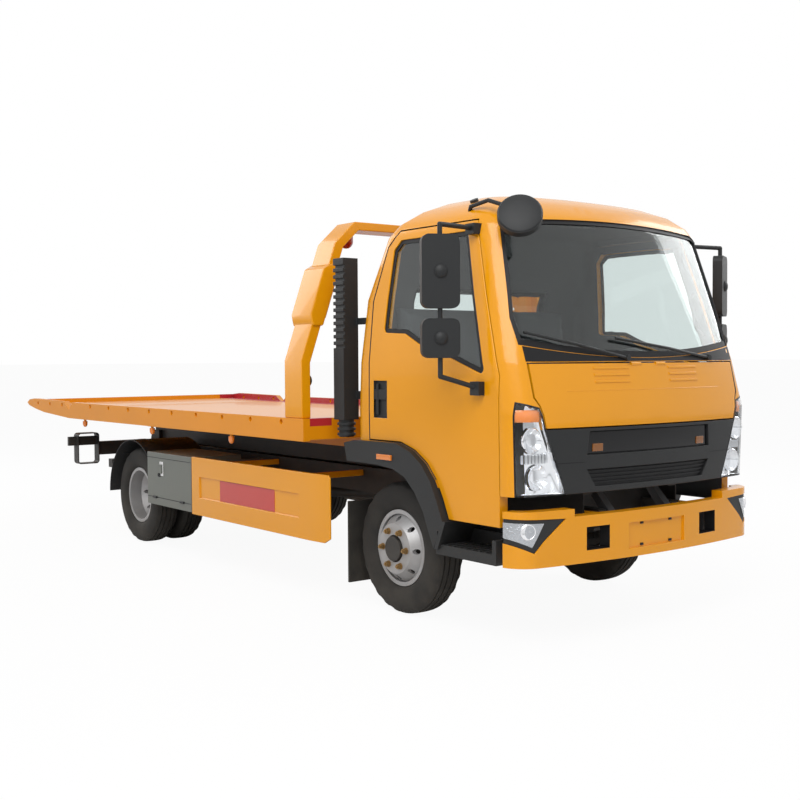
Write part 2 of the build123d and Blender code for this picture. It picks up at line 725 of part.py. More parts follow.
# Grille: one moulding with an upper window and a lower slot with bars
GRILLE_WALL = 60
SLOT_SINK = 22
UPPER_SLOT = [(-500, 985), (500, 985), (488, 1108), (-488, 1108)]
LOWER_SLOT = [(-440, 817), (440, 817), (500, 908), (-500, 908)]
with BuildPart() as grille:
    add(CAB_OUTER)
    add(cab_body(GRILLE_WALL), mode=Mode.SUBTRACT)
    add(front_prism(both_halves(GRILLE_HALF), FIREWALL_X), mode=Mode.INTERSECT)
    with BuildPart(mode=Mode.PRIVATE) as slots:
        add(front_prism(UPPER_SLOT, FIREWALL_X))
        add(front_prism(LOWER_SLOT, FIREWALL_X))
        add(cab_body(SLOT_SINK), mode=Mode.SUBTRACT)
    add(slots.part, mode=Mode.SUBTRACT)
save(grille.part, "grille")

# Headlamps: tall corner units
LAMP_WALL = 70
with BuildPart() as headlamps:
    add(CAB_OUTER)
    add(cab_body(LAMP_WALL), mode=Mode.SUBTRACT)
    with BuildPart(mode=Mode.PRIVATE) as lamp_zone:
        for name, s in SIDES:
            add(front_prism([(s * y, z) for y, z in LAMP_OUTLINE], LAMP_START))
    add(lamp_zone.part, mode=Mode.INTERSECT)
save(headlamps.part, "headlamps")

# Wheel-arch flares, arch liners and entry steps
FLARE_Y = 985
FLARE_IN_Y = CAB_HALF_W - CAB_WALL + 15
LINER_T = 8
LINER_IN_Y = 520
LINER_OUT_Y = CAB_HALF_W + 20
STEP_X = (470, 957)
STEP_Z = (427, 556)
STEP_IN_Y = 700
STEP_OUT_Y = FLARE_Y - 15
STEP_SIDE = 30
TREAD_Z = (465, 483)
STEP_BACK_T = 20
STEP_POCKET_Y = STEP_IN_Y + 60
# Strut from the flare's foot up to the door's sill, in side view
STEP_STRUT = [(470, 456), (500, 456), (580, 640), (545, 640)]
with BuildPart() as cab_flares:
    polygon_on(side(-FLARE_IN_Y), FLARE_OUTER + FLARE_INNER[::-1], FLARE_Y - FLARE_IN_Y)
    growth = 1 + LINER_T / TYRE_R
    outside = [(x * growth, TYRE_R + (z - TYRE_R) * growth) for x, z in FLARE_INNER]
    polygon_on(side(-LINER_IN_Y), outside + FLARE_INNER[::-1], LINER_OUT_Y - LINER_IN_Y)
    pocket_x = (STEP_X[0] + STEP_SIDE, STEP_X[1] - STEP_SIDE)
    box_at(STEP_X, (-STEP_OUT_Y, -STEP_IN_Y), STEP_Z)
    box_at(pocket_x, (-FLARE_Y, -STEP_POCKET_Y), (TREAD_Z[0], STEP_Z[1] + 1), Mode.SUBTRACT)
    box_at(pocket_x, (-STEP_OUT_Y, -STEP_IN_Y), TREAD_Z)
    box_at(STEP_X, (-STEP_IN_Y - STEP_BACK_T, -STEP_IN_Y), (STEP_Z[0], CAB_BOTTOM))
    polygon_on(side(-STEP_IN_Y), STEP_STRUT, FLARE_Y - STEP_IN_Y)
    add(door_hole.part, mode=Mode.SUBTRACT)
    add(cab_shell.part, mode=Mode.SUBTRACT)
    mirror(about=Plane.XZ)
save(cab_flares.part, "cab_flares")

# Inside the cab: dashboard, seats and steering wheel
DASH_X = (700, FIREWALL_X - CAB_WALL)
DASH_Z = (1130, 1440)
DASH_HALF_W = 820
with BuildPart() as dashboard:
    dash_outline = [
        (DASH_X[1], DASH_Z[0]),
        (DASH_X[0] + 60, DASH_Z[0]),
        (DASH_X[0], DASH_Z[0] + 120),
        (DASH_X[0] + 20, DASH_Z[1] - 30),
        (DASH_X[0] + 80, DASH_Z[1]),
        (DASH_X[1], DASH_Z[1] - 10),
    ]
    polygon_on(side(DASH_HALF_W), dash_outline, 2 * DASH_HALF_W)
save(dashboard.part, "dashboard")

# Columns: middle y, width of each seat
SEATS = [(400, 520), (-330, 860)]
SEAT_FRONT = 300
SEAT_BACK_X = -235
CUSHION_Z = 1250
BACKREST_TOP = 1830
with BuildPart() as seats:
    for y, width in SEATS:
        seat_side = [
            (SEAT_FRONT - 30, SEAT_FLOOR),
            (SEAT_FRONT, CUSHION_Z - 60),
            (SEAT_FRONT - 20, CUSHION_Z),
            (SEAT_BACK_X + 190, CUSHION_Z - 20),
            (SEAT_BACK_X + 90, BACKREST_TOP - 40),
            (SEAT_BACK_X + 70, BACKREST_TOP),
            (SEAT_BACK_X, BACKREST_TOP),
            (SEAT_BACK_X + 40, SEAT_FLOOR),
        ]
        polygon_on(side(y + width / 2), seat_side, width)
save(seats.part, "seats")

STEER_Y = SEATS[0][0]
STEER_R = 215
STEER_RIM_R = 16
STEER_HUB_R = 48
STEER_HUB_H = 40
SPOKE_W = 44
SPOKE_T = 16
COLUMN_R = 28
STEER_FOOT = (760, STEER_Y, 1150)
STEER_HUB = (520, STEER_Y, 1375)
with BuildPart() as steering_wheel:
    hub = Vector(*axle_point(*STEER_HUB))
    foot = Vector(*axle_point(*STEER_FOOT))
    wheel_face = Plane(origin=hub, x_dir=(0, 1, 0), z_dir=hub - foot)
    with Locations(wheel_face):
        Torus(STEER_R, STEER_RIM_R)
        Cylinder(STEER_HUB_R, STEER_HUB_H)
        Box(2 * STEER_R, SPOKE_W, SPOKE_T)
    rod_at(STEER_FOOT, STEER_HUB, COLUMN_R)
    add(dashboard.part, mode=Mode.SUBTRACT)
save(steering_wheel.part, "steering_wheel")

# Wipers: two arms lying on the windscreen; pivots on the sill above the lid
# Columns: y of the pivot, y of the tip, height of the tip
WIPERS = [(-170, -830, 1625), (560, -230, 1597)]
WIPER_BOSS_R = 17
WIPER_GAP = 11
WIPER_Z = LID_TOP + WIPER_BOSS_R + WIPER_GAP
WIPER_R = 8
WIPER_LIFT = 26


def screen_x(y, z):
    """Distance ahead of the axle of the windscreen's outside, near its sill."""
    low = CAB_SECTIONS[2]
    high = CAB_SECTIONS[3]
    share = (z - low[0]) / (high[0] - low[0])
    front = low[4] + share * (high[4] - low[4])
    corner = low[3] + share * (high[3] - low[3])
    return front - (front - corner) * (y / low[2]) ** 2


with BuildPart() as wipers:
    for pivot_y, tip_y, tip_z in WIPERS:
        root_x = screen_x(pivot_y, WIPER_Z)
        boss = [(root_x + reach, pivot_y, WIPER_Z) for reach in (-WIPER_R, WIPER_LIFT)]
        rod_at(*boss, WIPER_BOSS_R)
    add(CAB_OUTER, mode=Mode.SUBTRACT)
    for pivot_y, tip_y, tip_z in WIPERS:
        mid_y = (pivot_y + tip_y) / 2
        mid_z = (WIPER_Z + tip_z) / 2
        start = (screen_x(pivot_y, WIPER_Z) + WIPER_LIFT / 2, pivot_y, WIPER_Z)
        middle = (screen_x(mid_y, mid_z) + WIPER_LIFT, mid_y, mid_z)
        tip = (screen_x(tip_y, tip_z) + WIPER_LIFT / 2, tip_y, tip_z)
        rod_at(start, middle, WIPER_R)
        rod_at(middle, tip, WIPER_R)
        with Locations(axle_point(*middle)):
            Sphere(WIPER_R)
save(wipers.part, "wipers")

# Front-view mirror on a bent arm at the roof's right front corner, and the roof dome
ROOF_ARM = [(545, -790, 2262), (600, -822, 2310), (730, -812, 2330), (935, -795, 2262)]
ROOF_ARM_R = 11
DISC_AT = (950, -790, 2228)
DISC_FACING = (0.65, -0.60, 0.45)
DISC_R = 118
DISC_DEPTH = 40
DOME = [(510, -700, 2320), (510, -722, 2366)]
DOME_R = 24
with BuildPart() as roof_mirror:
    for start, end in zip(ROOF_ARM, ROOF_ARM[1:]):
        rod_at(start, end, ROOF_ARM_R)
    for bend in ROOF_ARM[1:]:
        with Locations(axle_point(*bend)):
            Sphere(ROOF_ARM_R)
    with Locations(Plane(origin=axle_point(*DISC_AT), z_dir=DISC_FACING)):
        Cylinder(DISC_R, DISC_DEPTH)
    rod_at(*DOME, DOME_R)
    add(CAB_OUTER, mode=Mode.SUBTRACT)
save(roof_mirror.part, "roof_mirror")

# Air intake stack behind the cab's right rear corner, with its louvres, bellows and cab brackets
SNORKEL_X = (-470, -362)
SNORKEL_Y = (-1000, -890)
SNORKEL_Z = (1127, 2100)
LOUVRE_Z = (1560, 2060)
LOUVRE_PITCH = 40
LOUVRE_H = 18
LOUVRE_DEPTH = 10
BELLOWS_Z = (1022, 1130)
BELLOWS_R = 46
FOLD_R = 56
FOLD_H = 16
FOLDS = 3
# Columns: x, y and z spans of each bracket
STACK_BRACKETS = [((-375, -250), (-910, -890), (1250, 1300)), ((-375, -220), (-905, -890), (1700, 1740))]
with BuildPart() as snorkel:
    box_at(SNORKEL_X, SNORKEL_Y, SNORKEL_Z)
    for z in range(LOUVRE_Z[0], LOUVRE_Z[1], LOUVRE_PITCH):
        slot_z = (z, z + LOUVRE_H)
        box_at((SNORKEL_X[0] - 1, SNORKEL_X[0] + LOUVRE_DEPTH), SNORKEL_Y, slot_z, Mode.SUBTRACT)
        box_at(SNORKEL_X, (SNORKEL_Y[0] - 1, SNORKEL_Y[0] + LOUVRE_DEPTH), slot_z, Mode.SUBTRACT)
    stack_x = sum(SNORKEL_X) / 2
    stack_y = sum(SNORKEL_Y) / 2
    for i in range(FOLDS):
        fold_z = BELLOWS_Z[0] + FOLD_H / 2 + 2 * i * FOLD_H
        rod_at((stack_x, stack_y, fold_z), (stack_x, stack_y, fold_z + FOLD_H), FOLD_R)
    rod_at((stack_x, stack_y, BELLOWS_Z[0]), (stack_x, stack_y, BELLOWS_Z[1]), BELLOWS_R)
    for bracket in STACK_BRACKETS:
        box_at(*bracket)
    add(CAB_OUTER, mode=Mode.SUBTRACT)
save(snorkel.part, "snorkel")

# Engine with gearbox, drive shaft, exhaust and fuel tank, hung from the frame
ENGINE = ((-560, 150), (-260, 260), (430, 890))
GEARBOX = ((-900, -560), (-150, 150), (440, 690))
ENGINE_MOUNT = ((-560, -480), (RAIL_T - FRAME_Y, FRAME_Y - RAIL_T), (FRAME_BOTTOM + 20, FRAME_TOP - 40))
with BuildPart() as engine_block:
    for block in (ENGINE, GEARBOX, ENGINE_MOUNT):
        box_at(*block)
    add(chassis_frame.part, mode=Mode.SUBTRACT)
save(engine_block.part, "engine_block")

SHAFT_TUBE_R = 45
GEARBOX_OUT_Z = 560
with BuildPart() as drive_shaft:
    rod_at((GEARBOX[0][0], 0, GEARBOX_OUT_Z), (REAR + DIFF_L, 0, TYRE_R), SHAFT_TUBE_R)
    add(rear_axle.part, mode=Mode.SUBTRACT)
    add(engine_block.part, mode=Mode.SUBTRACT)
save(drive_shaft.part, "drive_shaft")

EXHAUST_X = (-2700, -620)
EXHAUST_Y = 200
EXHAUST_Z = 490
EXHAUST_R = 30
MUFFLER_X = (-2050, -1450)
MUFFLER_R = 95
EXHAUST_HANGERS = (-1500, -2000)
EXHAUST_STRAP = (30, 80)
with BuildPart() as exhaust:
    rod_at((EXHAUST_X[1], EXHAUST_Y, EXHAUST_Z), (EXHAUST_X[0], EXHAUST_Y, EXHAUST_Z), EXHAUST_R)
    rod_at((MUFFLER_X[1], EXHAUST_Y, EXHAUST_Z), (MUFFLER_X[0], EXHAUST_Y, EXHAUST_Z), MUFFLER_R)
    for x in EXHAUST_HANGERS:
        strap_x = (x - EXHAUST_STRAP[0] / 2, x + EXHAUST_STRAP[0] / 2)
        strap_y = (EXHAUST_Y - EXHAUST_STRAP[1] / 2, EXHAUST_Y + EXHAUST_STRAP[1] / 2)
        box_at(strap_x, strap_y, (EXHAUST_Z, FRAME_BOTTOM + RAIL_T))
    add(engine_block.part, mode=Mode.SUBTRACT)
save(exhaust.part, "exhaust")

TANK_X = (-1900, -1100)
TANK_SIZE = (420, 340)
TANK_R = 50
TANK_Y = FRAME_Y + 250
TANK_Z = 560
TANK_BRACKETS = (-1800, -1250)
TANK_BRACKET = (50, 60)
with BuildPart() as fuel_tank:
    with BuildSketch(across(TANK_X[0])) as tank_end:
        with Locations((TANK_Y, TANK_Z)):
            RectangleRounded(*TANK_SIZE, TANK_R)
    extrude(amount=TANK_X[1] - TANK_X[0])
    for x in TANK_BRACKETS:
        bracket_y = (FRAME_Y, FRAME_Y + TANK_BRACKET[1])
        box_at((x, x + TANK_BRACKET[0]), bracket_y, (FRAME_BOTTOM, FRAME_TOP - 20))
save(fuel_tank.part, "fuel_tank")

# Front bumper: a bowed shell with tow-eye holes, plate recess and pockets for the fog lamps
BUMPER_Z = (425, 713)
BUMPER_HALF_W = 965
BUMPER_FRONT = 1200
BUMPER_CORNER = 1110
BUMPER_R = 140
BUMPER_T = 70
BUMPER_BACK = 1000
BUMPER_BAND_BACK = 780
TOP_STEP_Z = 673
TOP_STEP_Y = 610
FOG_OUTLINE = [(664, 667), (985, 677), (985, 560), (860, 500), (800, 560)]
FOG_START = 1000
FOG_SINK = 4
PLATE_Y = 228
PLATE_Z = (471, 609)
PLATE_SINK = 16
TOW_Y = (370, 530)
TOW_Z = (490, 612)
BUMPER_ARM_Y = (FRAME_Y - 30, FRAME_Y - 8)
BUMPER_ARM_Z = (610, 668)
PAST_FRONT = 1400


def bumper_band(inset, z):
    """Plan of the bumper's outside, drawn in by inset, open to the rear."""
    w = BUMPER_HALF_W - inset
    round_f = BUMPER_R - inset
    corner = BUMPER_CORNER - inset
    nose = BUMPER_FRONT - inset
    half_way = sin(radians(45))
    turn = corner - round_f
    ends = nose - (BUMPER_FRONT - BUMPER_CORNER) * ((w - round_f) / w) ** 2
    bulge = (turn + (ends - turn) * half_way, w - round_f * (1 - half_way))
    with BuildPart() as band:
        with BuildSketch(level(z[0])):
            with BuildLine():
                Line((turn, w), (BUMPER_BAND_BACK, w))
                Line((BUMPER_BAND_BACK, w), (BUMPER_BAND_BACK, -w))
                Line((BUMPER_BAND_BACK, -w), (turn, -w))
                ThreePointArc((turn, -w), (bulge[0], -bulge[1]), (ends, round_f - w))
                ThreePointArc((ends, round_f - w), (nose, 0), (ends, w - round_f))
                ThreePointArc((ends, w - round_f), bulge, (turn, w))
            make_face()
        extrude(amount=z[1] - z[0])
    return band.part


BUMPER_INSIDE = bumper_band(BUMPER_T, (BUMPER_Z[0] - 1, BUMPER_Z[1] + 1))
with BuildPart() as front_bumper:
    add(bumper_band(0, BUMPER_Z))
    add(BUMPER_INSIDE, mode=Mode.SUBTRACT)
    whole_y = (-BUMPER_HALF_W - 1, BUMPER_HALF_W + 1)
    box_at((BUMPER_BAND_BACK - 1, BUMPER_BACK), whole_y, (BUMPER_Z[0] - 1, BUMPER_Z[1] + 1), Mode.SUBTRACT)
    box_at((BUMPER_BACK, PAST_FRONT), (-TOP_STEP_Y, TOP_STEP_Y), (TOP_STEP_Z, BUMPER_Z[1] + 1), Mode.SUBTRACT)
    box_at((BUMPER_FRONT - PLATE_SINK, PAST_FRONT), (-PLATE_Y, PLATE_Y), PLATE_Z, Mode.SUBTRACT)
    for name, s in SIDES:
        box_at((BUMPER_BACK, PAST_FRONT), span(s, TOW_Y), TOW_Z, Mode.SUBTRACT)
        fog = [(s * y, z) for y, z in FOG_OUTLINE]
        polygon_on(across(FOG_START), fog, PAST_FRONT - FOG_START, Mode.SUBTRACT)
        box_at((FRAME_FRONT - 40, BUMPER_FRONT - BUMPER_T), span(s, BUMPER_ARM_Y), BUMPER_ARM_Z)
save(front_bumper.part, "front_bumper")

with BuildPart() as fog_lamps:
    add(bumper_band(FOG_SINK, BUMPER_Z))
    add(BUMPER_INSIDE, mode=Mode.SUBTRACT)
    with BuildPart(mode=Mode.PRIVATE) as fog_zone:
        for name, s in SIDES:
            fog = [(s * y, z) for y, z in FOG_OUTLINE]
            polygon_on(across(FOG_START), fog, PAST_FRONT - FOG_START)
    add(fog_zone.part, mode=Mode.INTERSECT)
save(fog_lamps.part, "fog_lamps")

# Mud flaps behind the front wheels, on arms from the frame
FLAP_X = (-478, -462)
FLAP_Y = (620, 900)
FLAP_Z = (117, 620)
FLAP_ARM_Z = (FRAME_BOTTOM + 10, 650)
FLAP_CLAMP_Y = (600, 700)
FLAP_CLAMP_Z = (560, 650)
with BuildPart() as front_mud_flaps:
    box_at(FLAP_X, span(-1, FLAP_Y), FLAP_Z)
    box_at(FLAP_X, (-FLAP_Y[0], -FRAME_Y), FLAP_ARM_Z)
    box_at(FLAP_X, span(-1, FLAP_CLAMP_Y), FLAP_CLAMP_Z)
    mirror(about=Plane.XZ)
save(front_mud_flaps.part, "front_mud_flaps")

# Rear mudguards: an arc over each pair of wheels, on arms from the frame
GUARD_R = 450
GUARD_T = 7
GUARD_Y = (490, 985)
GUARD_START = 20
GUARD_ARM_X = 320
GUARD_ARM_T = 30
GUARD_ARM_END_Y = GUARD_Y[1] - 60
GUARD_ARM_SINK = 4


def guard_point(radius, angle):
    """Point on a mudguard's arc, in side view."""
    return (REAR + radius * cos(radians(angle)), TYRE_R + radius * sin(radians(angle)))


with BuildPart() as rear_mudguards:
    with BuildSketch(side(-GUARD_Y[0])) as ring:
        with BuildLine():
            CenterArc((REAR, TYRE_R), GUARD_R, GUARD_START, 180 - GUARD_START)
            Line(guard_point(GUARD_R, 180), guard_point(GUARD_R + GUARD_T, 180))
            CenterArc((REAR, TYRE_R), GUARD_R + GUARD_T, GUARD_START, 180 - GUARD_START)
            Line(guard_point(GUARD_R, GUARD_START), guard_point(GUARD_R + GUARD_T, GUARD_START))
        make_face()
    extrude(ring.sketch, amount=GUARD_Y[1] - GUARD_Y[0])
    arm_z = TYRE_R + (GUARD_R**2 - GUARD_ARM_X**2) ** 0.5 + GUARD_ARM_SINK
    for x in (REAR - GUARD_ARM_X, REAR + GUARD_ARM_X):
        arm_x = (x - GUARD_ARM_T / 2, x + GUARD_ARM_T / 2)
        box_at(arm_x, (-GUARD_ARM_END_Y, -FRAME_Y), (arm_z, arm_z + GUARD_ARM_T))
    mirror(about=Plane.XZ)
save(rear_mudguards.part, "rear_mudguards")

# Toolboxes, open on their outer face, and the lids that close them
BOX_ARMS = (BOX_REAR + 100, BOX_FRONT - 150)
BOX_ARM_W = 50
with BuildPart() as toolboxes:
    box_y = (LID_T + FIT - SIDE_Y, BOX_DEPTH - SIDE_Y)
    box_at((BOX_REAR, BOX_FRONT), box_y, (BOX_BOTTOM, BOX_TOP))
    box_at(
        (BOX_REAR + BOX_WALL, BOX_FRONT - BOX_WALL),
        (box_y[0] - 1, box_y[1] - BOX_WALL),
        (BOX_BOTTOM + BOX_WALL, BOX_TOP - BOX_WALL),
        Mode.SUBTRACT,
    )
    for x in BOX_ARMS:
        box_at((x, x + BOX_ARM_W), (box_y[1], -FRAME_Y), (FRAME_BOTTOM + 20, FRAME_TOP - 30))
    mirror(about=Plane.XZ)
save(toolboxes.part, "toolboxes")

with BuildPart() as toolbox_lid_right:
    box_at((BOX_REAR, BOX_FRONT), (-SIDE_Y, LID_T - SIDE_Y), (BOX_BOTTOM, BOX_TOP))
for name, s in SIDES:
    lid = toolbox_lid_right.part
    save(lid if s < 0 else lid.mirror(Plane.XZ), f"toolbox_lid_{name}")

# Side guards between the front wheels and the toolboxes, with a long sunk panel and a bevelled
# front end, on arms from the frame
GUARD_WALL = 28
GUARD_Z = (365, 785)
GUARD_REAR = BOX_FRONT + PANEL_GAP
GUARD_PANEL_X = (-2150, -805)
GUARD_PANEL_Z = (495, 645)
GUARD_PANEL_SINK = 10
GUARD_BEVEL_L = 215
GUARD_BEVEL_T = 18
GUARD_ARMS = (-2150, -1050)
GUARD_ARM_W = 40
with BuildPart() as side_guards:
    guard_outline = [
        (GUARD_REAR, GUARD_Z[0]),
        (GUARD_FRONT - 60, GUARD_Z[0]),
        (GUARD_FRONT, GUARD_Z[0] + 30),
        (GUARD_FRONT, GUARD_Z[1] - 20),
        (GUARD_FRONT - 20, GUARD_Z[1]),
        (GUARD_REAR, GUARD_Z[1]),
    ]
    polygon_on(side(GUARD_WALL - SIDE_Y), guard_outline, GUARD_WALL)
    box_at(GUARD_PANEL_X, (-SIDE_Y - 1, GUARD_PANEL_SINK - SIDE_Y), GUARD_PANEL_Z, Mode.SUBTRACT)
    bevel = [
        (GUARD_FRONT - GUARD_BEVEL_L, -SIDE_Y),
        (GUARD_FRONT + 1, GUARD_BEVEL_T - SIDE_Y),
        (GUARD_FRONT + 1, -SIDE_Y - 1),
        (GUARD_FRONT - GUARD_BEVEL_L, -SIDE_Y - 1),
    ]
    polygon_on(level(GUARD_Z[0] - 1), bevel, GUARD_Z[1] - GUARD_Z[0] + 2, Mode.SUBTRACT)
    for x in GUARD_ARMS:
        arm_x = (x - GUARD_ARM_W / 2, x + GUARD_ARM_W / 2)
        box_at(arm_x, (GUARD_WALL - SIDE_Y, -FRAME_Y), (FRAME_TOP - 60, FRAME_TOP - 20))
    mirror(about=Plane.XZ)
save(side_guards.part, "side_guards")

# Tail beam behind the rear wheels, with an open lamp hoop and a lamp bar at each end
TAIL_BEAM_X = (-4640, -4580)
TAIL_BEAM_Z = (640, 760)
HOOP_X = (-4660, -4560)
HOOP_Y = (805, 1005)
HOOP_Z = (565, 845)
HOOP_R = 30
HOOP_T = 9
LAMP_BAR_X = (-4640, -4605)
LAMP_BAR_END_Y = 1072
LAMP_BAR_Z = (732, 812)
with BuildPart() as tail_beam:
    box_at(TAIL_BEAM_X, (-HOOP_Y[0] - HOOP_T, -FRAME_Y), TAIL_BEAM_Z)
    with BuildSketch(across(HOOP_X[0])) as hoop:
        with Locations((-sum(HOOP_Y) / 2, sum(HOOP_Z) / 2)):
            hoop_size = (HOOP_Y[1] - HOOP_Y[0], HOOP_Z[1] - HOOP_Z[0])
            RectangleRounded(*hoop_size, HOOP_R)
            hoop_hole = [size - 2 * HOOP_T for size in hoop_size]
            RectangleRounded(*hoop_hole, HOOP_R - HOOP_T, mode=Mode.SUBTRACT)
    extrude(hoop.sketch, amount=HOOP_X[1] - HOOP_X[0])
    box_at(LAMP_BAR_X, (-LAMP_BAR_END_Y, -HOOP_Y[0]), LAMP_BAR_Z)
    mirror(about=Plane.XZ)
save(tail_beam.part, "tail_beam")

# Tilt frame: two beams and cross tubes over the chassis, turning on the pins at its rear end
TILT_FRONT = -760
TILT_BOTTOM = TILT_TOP - TILT_H
TILT_CROSS = [-800, -1780, -3000, -4250]
TILT_CROSS_W = 70
TILT_CROSS_SINK = 10
TILT_BEAM_Y = (TILT_Y - TILT_W / 2, TILT_Y + TILT_W / 2)
LUG_GAP = 2
LUG_R = 45
LUG_REACH = 140
LUG_DROP = 20
CYL_TOP = (-1900, 850)
CYL_Y = 210
CYL_R = 45
ROD_R = 26
ROD_EYE_R = ROD_R + 8
ROD_EYE_HALF = 30
CHEEK_T = 12
CHEEK_X = (CYL_TOP[0] - 35, CYL_TOP[0] + 120)
CHEEK_Z = (CYL_TOP[1] - 30, TILT_TOP - TILT_CROSS_SINK)
with BuildPart() as tilt_frame:
    for name, s in SIDES:
        box_at((TILT_PIVOT_X, TILT_FRONT), span(s, TILT_BEAM_Y), (TILT_BOTTOM, TILT_TOP))
        lug_y = span(s, (FRAME_Y + LUG_GAP, FRAME_Y + LUG_GAP + LUG_T))
        lug = [
            (TILT_PIVOT_X - LUG_R, TILT_PIVOT_Z - LUG_R),
            (TILT_PIVOT_X + LUG_R, TILT_PIVOT_Z - LUG_R),
            (TILT_PIVOT_X + LUG_REACH, TILT_BOTTOM),
            (TILT_PIVOT_X + LUG_REACH, TILT_TOP - LUG_DROP),
            (TILT_PIVOT_X, TILT_TOP - LUG_DROP),
            (TILT_PIVOT_X - LUG_R, TILT_PIVOT_Z + LUG_R),
        ]
        polygon_on(side(lug_y[1]), lug, LUG_T)
        web_x = (TILT_PIVOT_X + LUG_DROP, TILT_PIVOT_X + LUG_REACH)
        box_at(web_x, span(s, (TILT_Y, FRAME_Y + LUG_T)), (TILT_BOTTOM + LUG_DROP, TILT_TOP - LUG_DROP))
        rod_at(
            (TILT_PIVOT_X, s * FRAME_Y, TILT_PIVOT_Z),
            (TILT_PIVOT_X, s * (FRAME_Y + 3 * LUG_T), TILT_PIVOT_Z),
            BED_PIN_R + PIN_FIT,
            Mode.SUBTRACT,
        )
    cross_z = (TILT_BOTTOM + TILT_CROSS_SINK, TILT_TOP - TILT_CROSS_SINK)
    for x in TILT_CROSS:
        box_at((x - TILT_CROSS_W / 2, x + TILT_CROSS_W / 2), (-TILT_Y, TILT_Y), cross_z)
    for name, s in SIDES:
        for cheek in (-1, 1):
            near = s * CYL_Y + cheek * (ROD_EYE_HALF + PANEL_GAP)
            box_at(CHEEK_X, sorted((near, near + cheek * CHEEK_T)), CHEEK_Z)
save(tilt_frame.part, "tilt_frame")

# Tilt cylinders: barrel on the chassis cross member, rod reaching to the tilt frame
CYL_DX = CYL_TOP[0] - CYL_FOOT[0]
CYL_DZ = CYL_TOP[1] - CYL_FOOT[1]
CYL_LENGTH = hypot(CYL_DX, CYL_DZ)
BARREL_L = CYL_LENGTH - 90
BARREL_END = 60
ROD_START = 100
FOOT_EYE_HALF = 40


def along_cylinder(distance, y):
    """Point on a cylinder's axis at a distance from its foot pivot."""
    return (CYL_FOOT[0] + CYL_DX * distance / CYL_LENGTH, y, CYL_FOOT[1] + CYL_DZ * distance / CYL_LENGTH)


with BuildPart() as cylinder_barrels:
    for name, s in SIDES:
        y = s * CYL_Y
        rod_at(along_cylinder(0, y), along_cylinder(BARREL_L, y), CYL_R)
        rod_at(along_cylinder(BARREL_END, y), along_cylinder(BARREL_L + 1, y), ROD_R + PIN_FIT, Mode.SUBTRACT)
        foot_eye = [(CYL_FOOT[0], y + end * FOOT_EYE_HALF, CYL_FOOT[1]) for end in (-1, 1)]
        rod_at(*foot_eye, CYL_R)
        foot_pin = [(CYL_FOOT[0], y + end * (FOOT_EYE_HALF + CYL_PIN_R), CYL_FOOT[1]) for end in (-1, 1)]
        rod_at(*foot_pin, CYL_PIN_R + PIN_FIT, Mode.SUBTRACT)
save(cylinder_barrels.part, "cylinder_barrels")
with BuildPart() as cylinder_rods:
    for name, s in SIDES:
        y = s * CYL_Y
        rod_at(along_cylinder(ROD_START, y), along_cylinder(CYL_LENGTH, y), ROD_R)
        rod_eye = [(CYL_TOP[0], y + end * ROD_EYE_HALF, CYL_TOP[1]) for end in (-1, 1)]
        rod_at(*rod_eye, ROD_EYE_R)
save(cylinder_rods.part, "cylinder_rods")

# Bed: deck plate in side rails with tie-down holes, front beam, cross bearers and two runners
RUNNER_BOTTOM = TILT_TOP + FIT
RUNNER_FRONT = BED_FRONT - 100
FRONT_BEAM_T = 60
FRONT_BEAM_Z = 1030
BEARERS = 9
BEARER_W = 60
BEARER_BOTTOM = RAIL_BOTTOM + 8
RAIL_Y = (BED_HALF_W - BED_RAIL_T, BED_HALF_W)
TIE_HOLES = 9
TIE_FIRST_X = -890
TIE_PITCH = 387.5
TIE_Z = 1102
TIE_R = 17
NOTCH_Z = 1060
BED_NOTCH = 80
TAIL_NOTCH = 120


def tie_hole(x, s):
    """Cut one tie-down hole through a side rail."""
    rod_at((x, s * (RAIL_Y[0] - 1), TIE_Z), (x, s * (RAIL_Y[1] + 1), TIE_Z), TIE_R, Mode.SUBTRACT)


with BuildPart() as bed_platform:
    box_at((BED_JOIN, BED_FRONT), (-BED_HALF_W, BED_HALF_W), (DECK_Z - DECK_T, DECK_Z))
    box_at((BED_FRONT - FRONT_BEAM_T, BED_FRONT), (-BED_HALF_W, BED_HALF_W), (FRONT_BEAM_Z, BED_TOP))
    pitch = (BED_FRONT - BED_JOIN - BEARER_W) / (BEARERS - 1)
    for i in range(BEARERS):
        x = BED_JOIN + i * pitch
        box_at((x, x + BEARER_W), (-BED_HALF_W, BED_HALF_W), (BEARER_BOTTOM, DECK_Z))
    notch = [(BED_JOIN - 1, NOTCH_Z), (BED_JOIN + BED_NOTCH, BED_TOP + 1), (BED_JOIN - 1, BED_TOP + 1)]
    for name, s in SIDES:
        box_at((BED_JOIN, BED_FRONT), span(s, RAIL_Y), (RAIL_BOTTOM, BED_TOP))
        box_at((BED_JOIN, RUNNER_FRONT), span(s, TILT_BEAM_Y), (RUNNER_BOTTOM, DECK_Z))
        polygon_on(side(span(s, RAIL_Y)[1]), notch, BED_RAIL_T, Mode.SUBTRACT)
        for i in range(TIE_HOLES):
            tie_hole(TIE_FIRST_X - i * TIE_PITCH, s)
save(bed_platform.part, "bed_platform")

